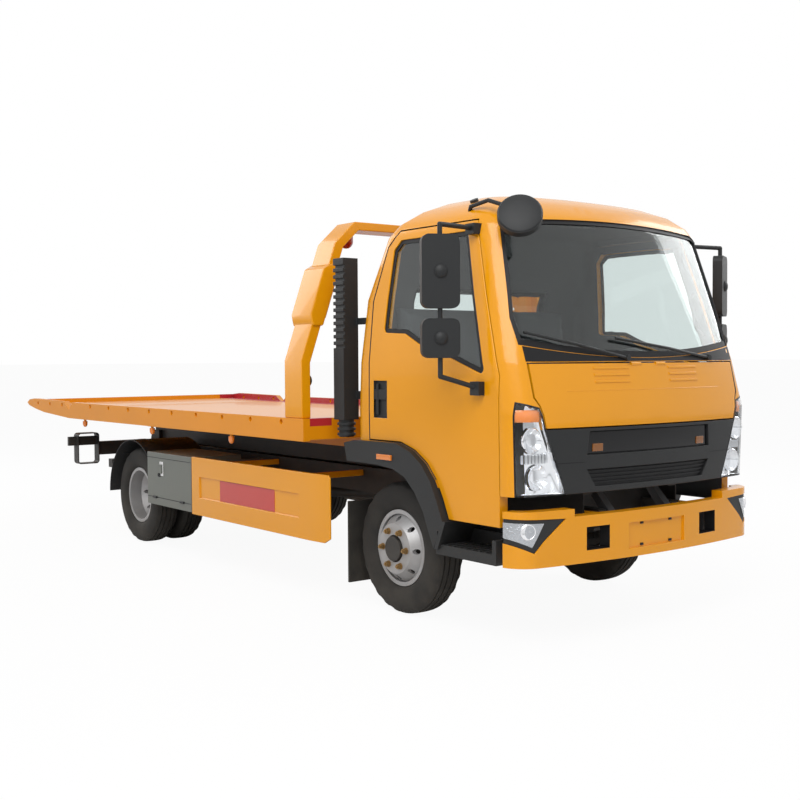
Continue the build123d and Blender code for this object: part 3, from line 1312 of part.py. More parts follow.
# Bed tail: ramp end that tapers to a rounded tip, bolted to the bed's rear edge
TAIL_TOP = 1141
TAIL_BEND = (-5087, 1021)
TAIL_NOSE = [(-5300, 1046), (-5470, 1074), (TAIL_TIP, 1100), (-5462, 1130), (-5340, TAIL_TOP)]
TAIL_RAMP_X = TAIL_TIP + 60
TAIL_RAMP_Z = 1090
TAIL_SKIN = 20
TAIL_PLATE_T = 60
TAIL_HOLES = (-4632, -4930, -5240)
with BuildPart() as bed_tail:
    tail_side = [
        (BED_JOIN - FIT, RAIL_BOTTOM),
        TAIL_BEND,
        *TAIL_NOSE,
        (BED_JOIN - TAIL_NOTCH, BED_TOP + 4),
        (BED_JOIN - FIT, NOTCH_Z),
    ]
    polygon_on(side(BED_HALF_W), tail_side, 2 * BED_HALF_W)
    under_ramp = [
        (BED_JOIN - TAIL_PLATE_T, RAIL_BOTTOM - TAIL_SKIN),
        (TAIL_BEND[0], TAIL_BEND[1] - TAIL_SKIN),
        (TAIL_BEND[0], TAIL_BEND[1] + 2 * TAIL_SKIN),
        (BED_JOIN - TAIL_PLATE_T, DECK_Z - DECK_T),
    ]
    polygon_on(side(RAIL_Y[0]), under_ramp, 2 * RAIL_Y[0], Mode.SUBTRACT)
    over_ramp = [
        (BED_JOIN, DECK_Z),
        (TAIL_RAMP_X, TAIL_RAMP_Z),
        (TAIL_RAMP_X, TAIL_TOP + 1),
        (BED_JOIN, TAIL_TOP + 1),
    ]
    polygon_on(side(RAIL_Y[0]), over_ramp, 2 * RAIL_Y[0], Mode.SUBTRACT)
    for name, s in SIDES:
        for x in TAIL_HOLES:
            tie_hole(x, s)
save(bed_tail.part, "bed_tail")

# Gantry: arch over the bed's front with a lamp case on each leg
GANTRY_IN = [(1044, BED_TOP), (1044, 1470), (790, 2198), (669, 2310)]
GANTRY_OUT = [(1110, BED_TOP), (1110, 1485), (853, 2222), (700, 2363)]
GANTRY_REAR = GANTRY_FRONT - GANTRY_DEPTH
GANTRY_LEAN = (GANTRY_IN[2][0] - GANTRY_IN[1][0]) / (GANTRY_IN[2][1] - GANTRY_IN[1][1])
CASE_Z = (1750, 2080)
CASE_W = 90
CASE_SINK = 30
CASE_PROUD = 20
CASE_DEPTH = GANTRY_DEPTH - 40
CASE_REAR = GANTRY_REAR - CASE_PROUD


def leg_y(z):
    """Distance from the middle of the inside of a gantry leg's sloping run, at a height."""
    return GANTRY_IN[1][0] + GANTRY_LEAN * (z - GANTRY_IN[1][1])


with BuildPart() as gantry:
    arch_out = GANTRY_OUT + [(-y, z) for y, z in reversed(GANTRY_OUT)]
    arch_in = GANTRY_IN + [(-y, z) for y, z in reversed(GANTRY_IN)]
    polygon_on(across(GANTRY_REAR), arch_out + arch_in[::-1], GANTRY_DEPTH)
    for name, s in SIDES:
        outer = [(s * (leg_y(z) + CASE_SINK), z) for z in CASE_Z]
        inner = [(s * (leg_y(z) + CASE_SINK - CASE_W), z) for z in reversed(CASE_Z)]
        polygon_on(across(CASE_REAR), outer + inner, CASE_DEPTH)
save(gantry.part, "gantry")

# Lamps on the bed: three red lamps on each case, a beacon in each arch corner, hanging side markers
# Columns: x of each marker
MARKERS = [-4150, -2815, -1570]
MARKER_Y = BED_HALF_W - 20
MARKER_STALK_R = 9
MARKER_R = 18
MARKER_Z = (932, 960)
CASE_LAMPS = 3
CASE_LAMP_R = 38
CASE_LAMP_H = 18
CASE_LAMP_FIRST = CASE_Z[0] + 60
CASE_LAMP_PITCH = 105
CASE_LAMP_IN = 15
BEACON_AT = (-760, 700)
BEACON_Z = (2230, 2310)
BEACON_R = 45
with BuildPart() as bed_lamps:
    for name, s in SIDES:
        for i in range(CASE_LAMPS):
            z = CASE_LAMP_FIRST + i * CASE_LAMP_PITCH
            y = s * (leg_y(z) - CASE_LAMP_IN)
            rod_at((CASE_REAR, y, z), (CASE_REAR - CASE_LAMP_H, y, z), CASE_LAMP_R)
        beacon = [(BEACON_AT[0], s * BEACON_AT[1], z) for z in BEACON_Z]
        rod_at(*beacon, BEACON_R)
        for x in MARKERS:
            rod_at((x, s * MARKER_Y, RAIL_BOTTOM), (x, s * MARKER_Y, MARKER_Z[0]), MARKER_STALK_R)
            rod_at((x, s * MARKER_Y, MARKER_Z[1]), (x, s * MARKER_Y, MARKER_Z[0]), MARKER_R)
    add(gantry.part, mode=Mode.SUBTRACT)
save(bed_lamps.part, "bed_lamps")

# Winch behind the gantry: side plates, base, guard, motor, gear case and the drum between them
WINCH_X = -1010
WINCH_Z = 1195
WINCH_Y = 210
WINCH_PLATE_X = (WINCH_X - 100, WINCH_X + 100)
WINCH_PLATE_TOP = WINCH_Z + 90
PLATE_T = 20
WINCH_BAR_T = 30
WINCH_BASE_T = 16
WINCH_GUARD_TOP = WINCH_Z + 60
MOTOR_R = 62
MOTOR_L = 150
GEAR_CASE_R = 72
GEAR_CASE_L = 60
DRUM_CORE_R = 48
DRUM_FLANGE_R = 62
DRUM_FLANGE_T = 8
DRUM_GAP = 6
SHAFT_R = 20
with BuildPart() as winch:
    for name, s in SIDES:
        box_at(WINCH_PLATE_X, span(s, (WINCH_Y, WINCH_Y + PLATE_T)), (DECK_Z, WINCH_PLATE_TOP))
        bearing = [(WINCH_X, s * y, WINCH_Z) for y in (WINCH_Y - 1, WINCH_Y + PLATE_T + 1)]
        rod_at(*bearing, SHAFT_R + PIN_FIT, Mode.SUBTRACT)
    rear_bar = (WINCH_PLATE_X[0], WINCH_PLATE_X[0] + WINCH_BAR_T)
    front_bar = (WINCH_PLATE_X[1] - WINCH_BAR_T, WINCH_PLATE_X[1])
    box_at(rear_bar, (-WINCH_Y, WINCH_Y), (DECK_Z, DECK_Z + WINCH_BASE_T))
    box_at(front_bar, (-WINCH_Y, WINCH_Y), (DECK_Z, WINCH_GUARD_TOP))
    case_y = WINCH_Y + PLATE_T
    rod_at((WINCH_X, case_y, WINCH_Z), (WINCH_X, case_y + MOTOR_L, WINCH_Z), MOTOR_R)
    rod_at((WINCH_X, -case_y, WINCH_Z), (WINCH_X, -case_y - GEAR_CASE_L, WINCH_Z), GEAR_CASE_R)
save(winch.part, "winch")
with BuildPart() as winch_drum:
    drum_y = WINCH_Y - DRUM_GAP
    rod_at((WINCH_X, -drum_y, WINCH_Z), (WINCH_X, drum_y, WINCH_Z), DRUM_CORE_R)
    for name, s in SIDES:
        flange = [(WINCH_X, s * y, WINCH_Z) for y in (drum_y, drum_y - DRUM_FLANGE_T)]
        rod_at(*flange, DRUM_FLANGE_R)
    shaft = [(WINCH_X, s * (WINCH_Y + PLATE_T - FIT), WINCH_Z) for name, s in SIDES]
    rod_at(*shaft, SHAFT_R)
save(winch_drum.part, "winch_drum")

# Wheel lift: a boom hinged on the frame's last cross member, with a crossbar at its end
LIFT_L = 480
LIFT_H = 100
LIFT_HEEL = 40
BAR_HALF = 480
BAR_W = 90
BAR_H = 80
ARM_PIN_Y = 430
ARM_PIN_R = 20
with BuildPart() as lift_boom:
    boom_x = (LIFT_X - LIFT_L, LIFT_X + LIFT_HEEL)
    box_at(boom_x, (-LIFT_W / 2, LIFT_W / 2), (LIFT_Z - LIFT_H / 2, LIFT_Z + LIFT_H / 2))
    bar_x = (LIFT_X - LIFT_L - BAR_W, LIFT_X - LIFT_L)
    box_at(bar_x, (-BAR_HALF, BAR_HALF), (LIFT_Z - BAR_H / 2, LIFT_Z + BAR_H / 2))
    rod_at((LIFT_X, -LIFT_W, LIFT_Z), (LIFT_X, LIFT_W, LIFT_Z), LIFT_PIN_R + PIN_FIT, Mode.SUBTRACT)
    with Locations(*[axle_point(LIFT_X - LIFT_L - BAR_W / 2, s * ARM_PIN_Y, LIFT_Z) for name, s in SIDES]):
        Cylinder(ARM_PIN_R, LIFT_H, mode=Mode.SUBTRACT)
save(lift_boom.part, "lift_boom")
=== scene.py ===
import json
from math import cos, pi, radians, sin

import bmesh
import bpy
from mathutils import Matrix, Vector
from mathutils.bvhtree import BVHTree

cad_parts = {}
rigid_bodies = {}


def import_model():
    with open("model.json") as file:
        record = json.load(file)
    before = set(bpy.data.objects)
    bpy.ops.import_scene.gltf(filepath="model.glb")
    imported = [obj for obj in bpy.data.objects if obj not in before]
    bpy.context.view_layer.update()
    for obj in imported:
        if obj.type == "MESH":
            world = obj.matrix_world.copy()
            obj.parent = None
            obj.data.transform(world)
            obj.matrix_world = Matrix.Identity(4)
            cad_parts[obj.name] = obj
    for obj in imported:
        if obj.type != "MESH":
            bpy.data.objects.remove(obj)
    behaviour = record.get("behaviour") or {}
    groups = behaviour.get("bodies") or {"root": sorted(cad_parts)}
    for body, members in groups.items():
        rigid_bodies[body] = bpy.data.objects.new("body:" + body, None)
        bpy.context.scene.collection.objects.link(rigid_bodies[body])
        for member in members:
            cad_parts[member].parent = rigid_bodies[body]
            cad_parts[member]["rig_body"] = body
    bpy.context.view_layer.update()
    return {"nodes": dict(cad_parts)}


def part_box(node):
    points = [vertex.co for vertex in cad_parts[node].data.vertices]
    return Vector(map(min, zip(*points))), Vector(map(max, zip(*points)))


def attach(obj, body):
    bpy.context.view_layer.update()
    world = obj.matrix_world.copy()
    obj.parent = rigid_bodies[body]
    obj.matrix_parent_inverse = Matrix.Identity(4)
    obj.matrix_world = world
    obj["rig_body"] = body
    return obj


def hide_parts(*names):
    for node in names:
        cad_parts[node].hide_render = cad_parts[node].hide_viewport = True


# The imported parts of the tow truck, in metres: +X ahead, +Y to its left, +Z up.
# Lengths along the truck are written from its front axle, as on a maker's drawing.
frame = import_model()
scene = bpy.context.scene
NODES = frame["nodes"]
SIDES = (("right", -1), ("left", 1))
front_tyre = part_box("tyre_front_right")
rear_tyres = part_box("tyres_rear_right")
AXLE_X = (front_tyre[0].x + front_tyre[1].x) / 2
REAR_X = (rear_tyres[0].x + rear_tyres[1].x) / 2


def at(x, y, z):
    """Point given from the front axle, in the truck's frame."""
    return Vector((AXLE_X + x, y, z))


# Camera: it stands ahead of the truck's right front corner at chest height and looks a little
# down, with a normal lens, so that the cab's front and its right side both show.
CAMERA_PLACE = at(5.264, -4.861, 1.492)
CAMERA_YAW = radians(37.288)
CAMERA_PITCH = radians(2.072)
CAMERA_ROLL = radians(-0.355)
CAMERA_LENS = 51.13
ahead = Vector((-cos(CAMERA_YAW), sin(CAMERA_YAW), 0)) * cos(CAMERA_PITCH)
ahead.z = -sin(CAMERA_PITCH)
level_right = Vector((sin(CAMERA_YAW), cos(CAMERA_YAW), 0))
level_up = level_right.cross(ahead)
right = cos(CAMERA_ROLL) * level_right + sin(CAMERA_ROLL) * level_up
upward = cos(CAMERA_ROLL) * level_up - sin(CAMERA_ROLL) * level_right
camera = bpy.data.objects.new("camera", bpy.data.cameras.new("camera"))
camera.data.lens = CAMERA_LENS
turned_to = Matrix((right, upward, -ahead)).transposed().to_4x4()
camera.matrix_world = Matrix.Translation(CAMERA_PLACE) @ turned_to
scene.collection.objects.link(camera)
scene.camera = camera

# Studio: a pale floor that keeps a soft shadow, a white surround, one large soft lamp over
# the truck's right front corner and two weaker ones for its left side and its tail.
FLOOR_REACH = 500
FLOOR_DROP = 0.002
FLOOR_COLOUR = (0.86, 0.86, 0.86, 1)
FLOOR_GLOW = 0.94
AMBIENT = 0.48
# Columns: name, place, aim, width, power
LAMPS = (
    ("key_lamp", (6.5, -5.5, 7.5), (0.3, 0, 1.0), 6.0, 590),
    ("left_lamp", (3.0, 8.0, 5.5), (0, 0, 1.0), 5.0, 260),
    ("tail_lamp", (-8.5, -3.5, 5.5), (-1.5, 0, 1.0), 5.0, 260),
)


def feed(tree, node, sources):
    """Sets a node's inputs; each source pairs an input with a socket to link or a value."""
    for socket, source in sources:
        if isinstance(source, bpy.types.NodeSocket):
            tree.links.new(source, node.inputs[socket])
        else:
            node.inputs[socket].default_value = source


def add_node(tree, kind, sources=(), **settings):
    """New node with its settings and the sources of its inputs."""
    node = tree.nodes.new(kind)
    for label, value in settings.items():
        setattr(node, label, value)
    feed(tree, node, sources)
    return node


def calc(tree, operation, *values, **settings):
    """Socket with the result of a Math node on sockets or numbers."""
    return add_node(tree, "ShaderNodeMath", enumerate(values), operation=operation, **settings).outputs[0]


scene.view_settings.view_transform = "Standard"
floor_signs = ((-1, -1), (1, -1), (1, 1), (-1, 1))
floor_mesh = bpy.data.meshes.new("floor")
floor_mesh.from_pydata(
    [(x * FLOOR_REACH, y * FLOOR_REACH, -FLOOR_DROP) for x, y in floor_signs], [], [(0, 1, 2, 3)]
)
floor = bpy.data.objects.new("floor", floor_mesh)
scene.collection.objects.link(floor)
floor_paint = bpy.data.materials.new("studio_floor")
floor_paint.use_nodes = True
tree = floor_paint.node_tree
matt = tree.nodes["Principled BSDF"]
feed(tree, matt, (("Base Color", FLOOR_COLOUR), ("Roughness", 0.9)))
glow = add_node(tree, "ShaderNodeEmission")
path = add_node(tree, "ShaderNodeLightPath")
share = calc(tree, "MULTIPLY", path.outputs["Is Camera Ray"], FLOOR_GLOW)
mix = add_node(tree, "ShaderNodeMixShader", ((0, share), (1, matt.outputs[0]), (2, glow.outputs[0])))
feed(tree, tree.nodes["Material Output"], (("Surface", mix.outputs[0]),))
floor_mesh.materials.append(floor_paint)

world = bpy.data.worlds.new("studio")
world.use_nodes = True
scene.world = world
tree = world.node_tree
sky = tree.nodes["Background"]
path = add_node(tree, "ShaderNodeLightPath")
seen = path.outputs["Is Camera Ray"]
for ray in ("Is Glossy Ray", "Is Transmission Ray"):
    seen = calc(tree, "MAXIMUM", seen, path.outputs[ray])
strength = add_node(tree, "ShaderNodeMapRange", (("To Min", AMBIENT), ("Value", seen)))
feed(tree, sky, (("Strength", strength.outputs["Result"]), ("Color", (1, 1, 1, 1))))
for name, place, aim, width, power in LAMPS:
    lamp = bpy.data.objects.new(name, bpy.data.lights.new(name, "AREA"))
    lamp.data.size = width
    lamp.data.energy = power
    lamp.location = place
    lamp.rotation_euler = (Vector(aim) - Vector(place)).to_track_quat("-Z", "Y").to_euler()
    scene.collection.objects.link(lamp)

# Chassis: welded and riveted steel rails, axles, springs, engine and drive line, all sprayed
# in satin black apart from the cast engine and the bare exhaust.
MERGE_REACH = 2e-5
FLAT_ANGLE = radians(0.4)
SOFT_ANGLE = radians(34)
DUST_COLOUR = (0.23, 0.20, 0.16, 1)
DUST_SCALE = 7
DUST_ROUGHNESS = 0.9
COAT_ROUGHNESS = 0.04
# Places of the first colour, the second colour and the colour put out on a Mix node
MIX_FIRST = 6
MIX_SECOND = 7
MIX_OUT = 2
# Sockets that the groups for a finish share
SURFACE_IN = (("Colour", "Color", (1, 1, 1, 1)), ("Roughness", "Float", 0.5))
SURFACE_OUT = (("Colour", "Color"), ("Roughness", "Float"))


def shader_group(name, inputs, outputs):
    """Empty shader group with named sockets; returns the tree, its input and its output."""
    made = bpy.data.node_groups.new(name, "ShaderNodeTree")
    for label, kind, value in inputs:
        socket = made.interface.new_socket(label, in_out="INPUT", socket_type="NodeSocket" + kind)
        socket.default_value = value
    for label, kind in outputs:
        made.interface.new_socket(label, in_out="OUTPUT", socket_type="NodeSocket" + kind)
    return made, made.nodes.new("NodeGroupInput"), made.nodes.new("NodeGroupOutput")


def object_noise(made, scale, detail):
    """Noise on a piece's own coordinates."""
    where = add_node(made, "ShaderNodeTexCoord")
    sources = (("Detail", detail), ("Vector", where.outputs["Object"]), ("Scale", scale))
    return add_node(made, "ShaderNodeTexNoise", sources).outputs[0]


def object_axes(tree):
    """Sockets X, Y and Z of a point's place on its piece."""
    where = add_node(tree, "ShaderNodeTexCoord")
    return add_node(tree, "ShaderNodeSeparateXYZ", ((0, where.outputs["Object"]),)).outputs


def blended(tree, share, first, second):
    """Socket with the blend of two colours."""
    sources = ((0, share), (MIX_FIRST, first), (MIX_SECOND, second))
    return add_node(tree, "ShaderNodeMix", sources, data_type="RGBA").outputs[MIX_OUT]


def make_grain_group():
    """Fine bumps: the pebble of moulded plastic, cast iron, rubber or sprayed paint."""
    made, inside, out = shader_group(
        "fine_grain", [("Scale", "Float", 900), ("Depth", "Float", 0.0002)], [("Normal", "Vector")]
    )
    noise = object_noise(made, inside.outputs["Scale"], 3)
    bump = add_node(made, "ShaderNodeBump", (("Height", noise), ("Distance", inside.outputs["Depth"])))
    made.links.new(bump.outputs[0], out.inputs["Normal"])
    return made


def make_drift_group():
    """Slow drift of a finish's tone and gloss over a large panel."""
    made, inside, out = shader_group(
        "tone_drift", [*SURFACE_IN, ("Amount", "Float", 0.05), ("Scale", "Float", 3)], SURFACE_OUT
    )
    given = inside.outputs
    noise = object_noise(made, given["Scale"], 4)
    gain = calc(made, "MULTIPLY_ADD", calc(made, "SUBTRACT", noise, 0.5), given["Amount"], 1)
    tint = add_node(made, "ShaderNodeHueSaturation", (("Value", gain), ("Color", given["Colour"])))
    rough = calc(made, "MULTIPLY", given["Roughness"], gain)
    feed(made, out, (("Colour", tint.outputs[0]), ("Roughness", rough)))
    return made


def make_dust_group():
    """Road dust: a dry film in patches, thickest near the ground."""
    made, inside, out = shader_group(
        "road_dust", [*SURFACE_IN, ("Dust", "Float", 0.2), ("Reach", "Float", 1.1)], SURFACE_OUT
    )
    given = inside.outputs
    noise = object_noise(made, DUST_SCALE, 6)
    z = object_axes(made)["Z"]
    fall = (("To Min", 1), ("To Max", 0), ("Value", z), ("From Max", given["Reach"]))
    height = add_node(made, "ShaderNodeMapRange", fall).outputs["Result"]
    patches = calc(made, "MULTIPLY", height, noise)
    amount = calc(made, "MULTIPLY", patches, given["Dust"], use_clamp=True)
    film = blended(made, amount, given["Colour"], DUST_COLOUR)
    dull = add_node(made, "ShaderNodeMix", ((0, amount), (2, given["Roughness"]), (3, DUST_ROUGHNESS)))
    feed(made, out, (("Colour", film), ("Roughness", dull.outputs[0])))
    return made


grain_group = make_grain_group()
drift_group = make_drift_group()
dust_group = make_dust_group()


def placed(tree, group, **sources):
    """Outputs, by name, of a shader group placed in a material's tree."""
    return dict(add_node(tree, "ShaderNodeGroup", sources.items(), node_tree=group).outputs.items())


def finish(
    name, colour, roughness, metallic=0.0, coat=0.0, drift=0.12, grain=(900, 0.0002), dust=0.0, shine=0.5
):
    """Opaque finish with a slow drift of tone, a fine grain and, low down, road dust."""
    material = bpy.data.materials.new(name)
    material.use_nodes = True
    tree = material.node_tree
    tone = placed(tree, drift_group, Colour=(*colour, 1), Roughness=roughness, Amount=drift)
    if dust:
        tone = placed(tree, dust_group, **tone, Dust=dust)
    scale, depth = grain
    pebble = placed(tree, grain_group, Scale=scale, Depth=depth)
    sources = (
        ("Base Color", tone["Colour"]),
        ("Roughness", tone["Roughness"]),
        ("Metallic", metallic),
        ("Specular IOR Level", shine),
        ("Coat Weight", coat),
        ("Coat Roughness", COAT_ROUGHNESS),
        ("Normal", pebble["Normal"]),
    )
    feed(tree, tree.nodes["Principled BSDF"], sources)
    return material


def settle(piece):
    """Turns a piece's modifiers into plain mesh."""
    graph = bpy.context.evaluated_depsgraph_get()
    mesh = bpy.data.meshes.new_from_object(piece.evaluated_get(graph))
    piece.modifiers.clear()
    piece.data = mesh
    return piece


def even_shading(piece):
    """Smooth shading across gentle turns, with large faces kept flat."""
    piece.data.shade_smooth()
    piece.data.set_sharp_from_angle(angle=SOFT_ANGLE)
    weighted = piece.modifiers.new("normals", "WEIGHTED_NORMAL")
    weighted.keep_sharp = True
    return settle(piece)


def new_piece(name, shape, *materials):
    """Object from a bmesh, which is freed, with its finishes."""
    mesh = bpy.data.meshes.new(name)
    shape.to_mesh(mesh)
    shape.free()
    piece = bpy.data.objects.new(name, mesh)
    scene.collection.objects.link(piece)
    for material in materials:
        mesh.materials.append(material)
    return piece


def walled(piece, thickness, offset):
    """Gives an open sheet its thickness, outwards for an offset of 1, and evens its shading."""
    wall = piece.modifiers.new("thickness", "SOLIDIFY")
    wall.thickness = thickness
    wall.offset = offset
    return even_shading(settle(piece))


def merged(node):
    """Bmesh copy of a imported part, its loose triangles joined into whole faces."""
    shape = bmesh.new()
    shape.from_mesh(NODES[node].data)
    bmesh.ops.remove_doubles(shape, verts=shape.verts, dist=MERGE_REACH)
    bmesh.ops.dissolve_limit(shape, angle_limit=FLAT_ANGLE, verts=shape.verts, edges=shape.edges)
    return shape


def eased(piece, edge):
    """Rounds a piece's sharp edges and evens its shading."""
    if edge:
        ease = piece.modifiers.new("edges", "BEVEL")
        ease.width = edge
        ease.segments = 2
        ease.limit_method = "ANGLE"
        ease.angle_limit = SOFT_ANGLE
        ease.use_clamp_overlap = True
        settle(piece)
    return even_shading(piece)


def carried(piece, carrier):
    """Lets a piece ride on a body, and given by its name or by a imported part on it."""
    body = NODES[carrier]["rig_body"] if carrier in NODES else carrier
    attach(piece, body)
    return piece


def dress(node, material, edge=0.0, others=(), choose=None):
    """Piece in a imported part's own form: edges eased, finishes laid on face by face."""
    shape = merged(node)
    if choose:
        for face in shape.faces:
            face.material_index = choose(face.calc_center_median() - at(0, 0, 0), face.normal)
    piece = eased(new_piece(node + "_skin", shape, material, *others), edge)
    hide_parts(node)
    return carried(piece, node)


def fitted(name, shape, material, carrier, edge=0.0):
    """Added piece: closed mesh with its faces turned outwards, eased and carried by a body."""
    bmesh.ops.recalc_face_normals(shape, faces=shape.faces)
    return carried(eased(new_piece(name, shape, material), edge), carrier)


black_steel = finish("black_steel", (0.012, 0.012, 0.013), 0.42, grain=(400, 0.0003), dust=0.40, shine=0.3)
cast_iron = finish("cast_engine", (0.045, 0.046, 0.05), 0.55, metallic=0.4, grain=(180, 0.001), dust=0.4)
bare_exhaust = finish("exhaust_steel", (0.20, 0.18, 0.16), 0.45, metallic=0.9, drift=0.5, dust=0.5)
# Columns: part in black steel, its eased edge
RUNNING_GEAR = (
    ("chassis_frame", 0.002),
    ("front_axle", 0.003),
    ("rear_axle", 0.004),
    ("leaf_springs", 0.001),
    ("knuckle_right", 0.002),
    ("knuckle_left", 0.002),
    ("drive_shaft", 0.002),
    ("fuel_tank", 0.006),
)
for part, edge in RUNNING_GEAR:
    dress(part, black_steel, edge)
dress("engine_block", cast_iron, 0.008)
dress("exhaust", bare_exhaust, 0.001)

# Wheels: ribbed road tyres with notched shoulders on silver steel discs, each pair or single
# wheel held to its hub by a ring of six plated nuts.
TYRE_R = (front_tyre[1].z - front_tyre[0].z) / 2
FRONT_Y = -(front_tyre[0].y + front_tyre[1].y) / 2
TWIN_Y = (0.84, 0.60)
TYRE_STEPS = 96
NOTCH_DEPTH = 0.006
NOTCH_REACH = (0.066, 0.09)
SHOULDER_H = 0.02
# Columns: distance from the tyre's middle, radius; from the bead over the shoulder to the crown
TYRE_OUTLINE = (
    (0.0665, 0.2080),
    (0.0665, 0.2245),
    (0.080, 0.233),
    (0.093, 0.247),
    (0.0985, 0.277),
    (0.100, 0.3075),
    (0.0972, 0.336),
    (0.0905, 0.359),
    (0.0845, 0.3715),
    (0.075, 0.3785),
    (0.068, 0.3812),
    (0.060, 0.3835),
    (0.058, 0.3745),
    (0.052, 0.3745),
    (0.050, 0.3855),
    (0.026, 0.3870),
    (0.024, 0.3780),
    (0.017, 0.3780),
    (0.015, 0.3875),
)
NUTS = 6
NUT_RING_R = 0.111
NUT_R = 0.017
NUT_H = 0.024


def turned(shape, outline, place, steps, closed=False, radius_at=None):
    """Turns an outline of (distance along Y, radius) about Y, at a place given as a matrix."""
    rings = []
    for k in range(steps):
        turn = 2 * pi * k / steps
        ring = []
        for u, r in outline:
            reach = radius_at(k, u, r) if radius_at else r
            ring.append(shape.verts.new(place @ Vector((reach * cos(turn), u, reach * sin(turn)))))
        rings.append(ring)
    count = len(outline)
    for k, here in enumerate(rings):
        after = rings[(k + 1) % steps]
        for i in range(count if closed else count - 1):
            j = (i + 1) % count
            shape.faces.new((here[i], after[i], after[j], here[j]))
    if not closed:
        bmesh.ops.remove_doubles(shape, verts=shape.verts, dist=MERGE_REACH)


def notched(k, u, r):
    """Radius of a tyre's outline at a step, let in at every other pair of steps on the shoulder."""
    low = NOTCH_REACH[0] < abs(u) < NOTCH_REACH[1] and r > TYRE_R - SHOULDER_H
    return r - NOTCH_DEPTH if low and k % 4 < 2 else r


def make_pattern(name, layout, count_socket, sizes):
    """Node tree that repeats a part on the points of a circle or a line and lays a finish on it."""
    made = bpy.data.node_groups.new(name, "GeometryNodeTree")
    inputs = [("Part", "Object"), ("Count", "Int"), *sizes, ("Finish", "Material")]
    for label, kind in inputs:
        made.interface.new_socket(label, in_out="INPUT", socket_type="NodeSocket" + kind)
    made.interface.new_socket("Geometry", in_out="OUTPUT", socket_type="NodeSocketGeometry")
    given = add_node(made, "NodeGroupInput").outputs
    out = add_node(made, "NodeGroupOutput")
    part = add_node(made, "GeometryNodeObjectInfo", (("Object", given["Part"]),))
    spacing = [(label, given[label]) for label, kind in sizes]
    points = add_node(made, layout, [(count_socket, given["Count"]), *spacing])
    copies = add_node(
        made,
        "GeometryNodeInstanceOnPoints",
        (("Points", points.outputs[0]), ("Instance", part.outputs["Geometry"])),
    )
    real = add_node(made, "GeometryNodeRealizeInstances", ((0, copies.outputs[0]),))
    laid = add_node(
        made, "GeometryNodeSetMaterial", (("Geometry", real.outputs[0]), ("Material", given["Finish"]))
    )
    made.links.new(laid.outputs[0], out.inputs["Geometry"])
    return made


ring_tree = make_pattern("ring_of_parts", "GeometryNodeMeshCircle", "Vertices", [("Radius", "Float")])
row_tree = make_pattern(
    "row_of_parts", "GeometryNodeMeshLine", "Count", [("Start Location", "Vector"), ("Offset", "Vector")]
)


def repeated(name, tree, shape, material, place, carrier, slot, **sizes):
    """Piece made of one part repeated by a node tree, then put in its place on a body."""
    bmesh.ops.recalc_face_normals(shape, faces=shape.faces)
    part = new_piece(name + "_part", shape, material)
    piece = new_piece(name, bmesh.new())
    pattern = piece.modifiers.new("pattern", "NODES")
    pattern.node_group = tree
    values = {"Part": part, "Finish": material, **sizes}
    for item in tree.interface.items_tree:
        if item.in_out == "INPUT":
            pattern[item.identifier] = values[item.name]
    settle(piece)
    bpy.data.objects.remove(part)
    piece.data.transform(place)
    even_shading(piece)
    return carried(piece, carrier)


def add_rod(shape, start, end, radius, end_radius=None, steps=24):
    """Round bar, or a cone, between two points given from the front axle."""
    a = at(*start)
    b = at(*end)
    place = Matrix.Translation((a + b) / 2) @ (b - a).to_track_quat("Z", "Y").to_matrix().to_4x4()
    far = radius if end_radius is None else end_radius
    bmesh.ops.create_cone(
        shape, cap_ends=True, segments=steps, radius1=radius, radius2=far, depth=(b - a).length, matrix=place
    )


def nut_shape():
    """Hexagon nut with its washer, standing on the origin along Z."""
    shape = bmesh.new()
    centre = AXLE_X
    add_rod(shape, (-centre, 0, 0), (-centre, 0, NUT_H), NUT_R, NUT_R * 0.94, 6)
    add_rod(shape, (-centre, 0, -0.001), (-centre, 0, 0.004), NUT_R * 1.15, NUT_R * 1.15, 20)
    add_rod(shape, (-centre, 0, NUT_H - 0.001), (-centre, 0, NUT_H + 0.009), NUT_R * 0.5, NUT_R * 0.45, 12)
    return shape


tyre_rubber = finish(
    "tyre_rubber", (0.013, 0.013, 0.0135), 0.72, drift=0.25, grain=(260, 0.0006), dust=0.30, shine=0.2
)
wheel_silver = finish("wheel_steel", (0.42, 0.42, 0.43), 0.36, metallic=0.55, grain=(500, 0.0002), dust=0.75)
brass = finish("nut_brass", (0.33, 0.20, 0.07), 0.38, metallic=0.85, drift=0.4, dust=0.4)
tyre_loop = [*TYRE_OUTLINE, *[(-u, r) for u, r in reversed(TYRE_OUTLINE)]]
# Columns: stems of the tyre's and the rim's names, x of the axle, y of its tyres, y of its nuts' seat
WHEELS = (
    ("tyre_front", "rim_front", 0.0, (FRONT_Y,), 0.900),
    ("tyres_rear", "rims_rear", REAR_X - AXLE_X, TWIN_Y, 0.7305),
)
for tyre, rim, axle, reaches, seat in WHEELS:
    for name, s in SIDES:
        rubber = bmesh.new()
        for reach in reaches:
            hub = Matrix.Translation(at(axle, s * reach, TYRE_R))
            turned(rubber, tyre_loop, hub, TYRE_STEPS, True, notched)
        piece = fitted(f"{tyre}_{name}_tread", rubber, tyre_rubber, f"{tyre}_{name}")
        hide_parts(f"{tyre}_{name}")
        dress(f"{rim}_{name}", wheel_silver, 0.0025)
        seat_place = Matrix.Translation(at(axle, s * seat, TYRE_R)) @ Matrix.Rotation(-s * pi / 2, 4, "X")
        disc = f"{rim}_{name}"
        repeated(
            f"wheel_nuts_{disc}", ring_tree, nut_shape(), brass, seat_place, disc, "wheel_steel",
            Count=NUTS, Radius=NUT_RING_R,
        )

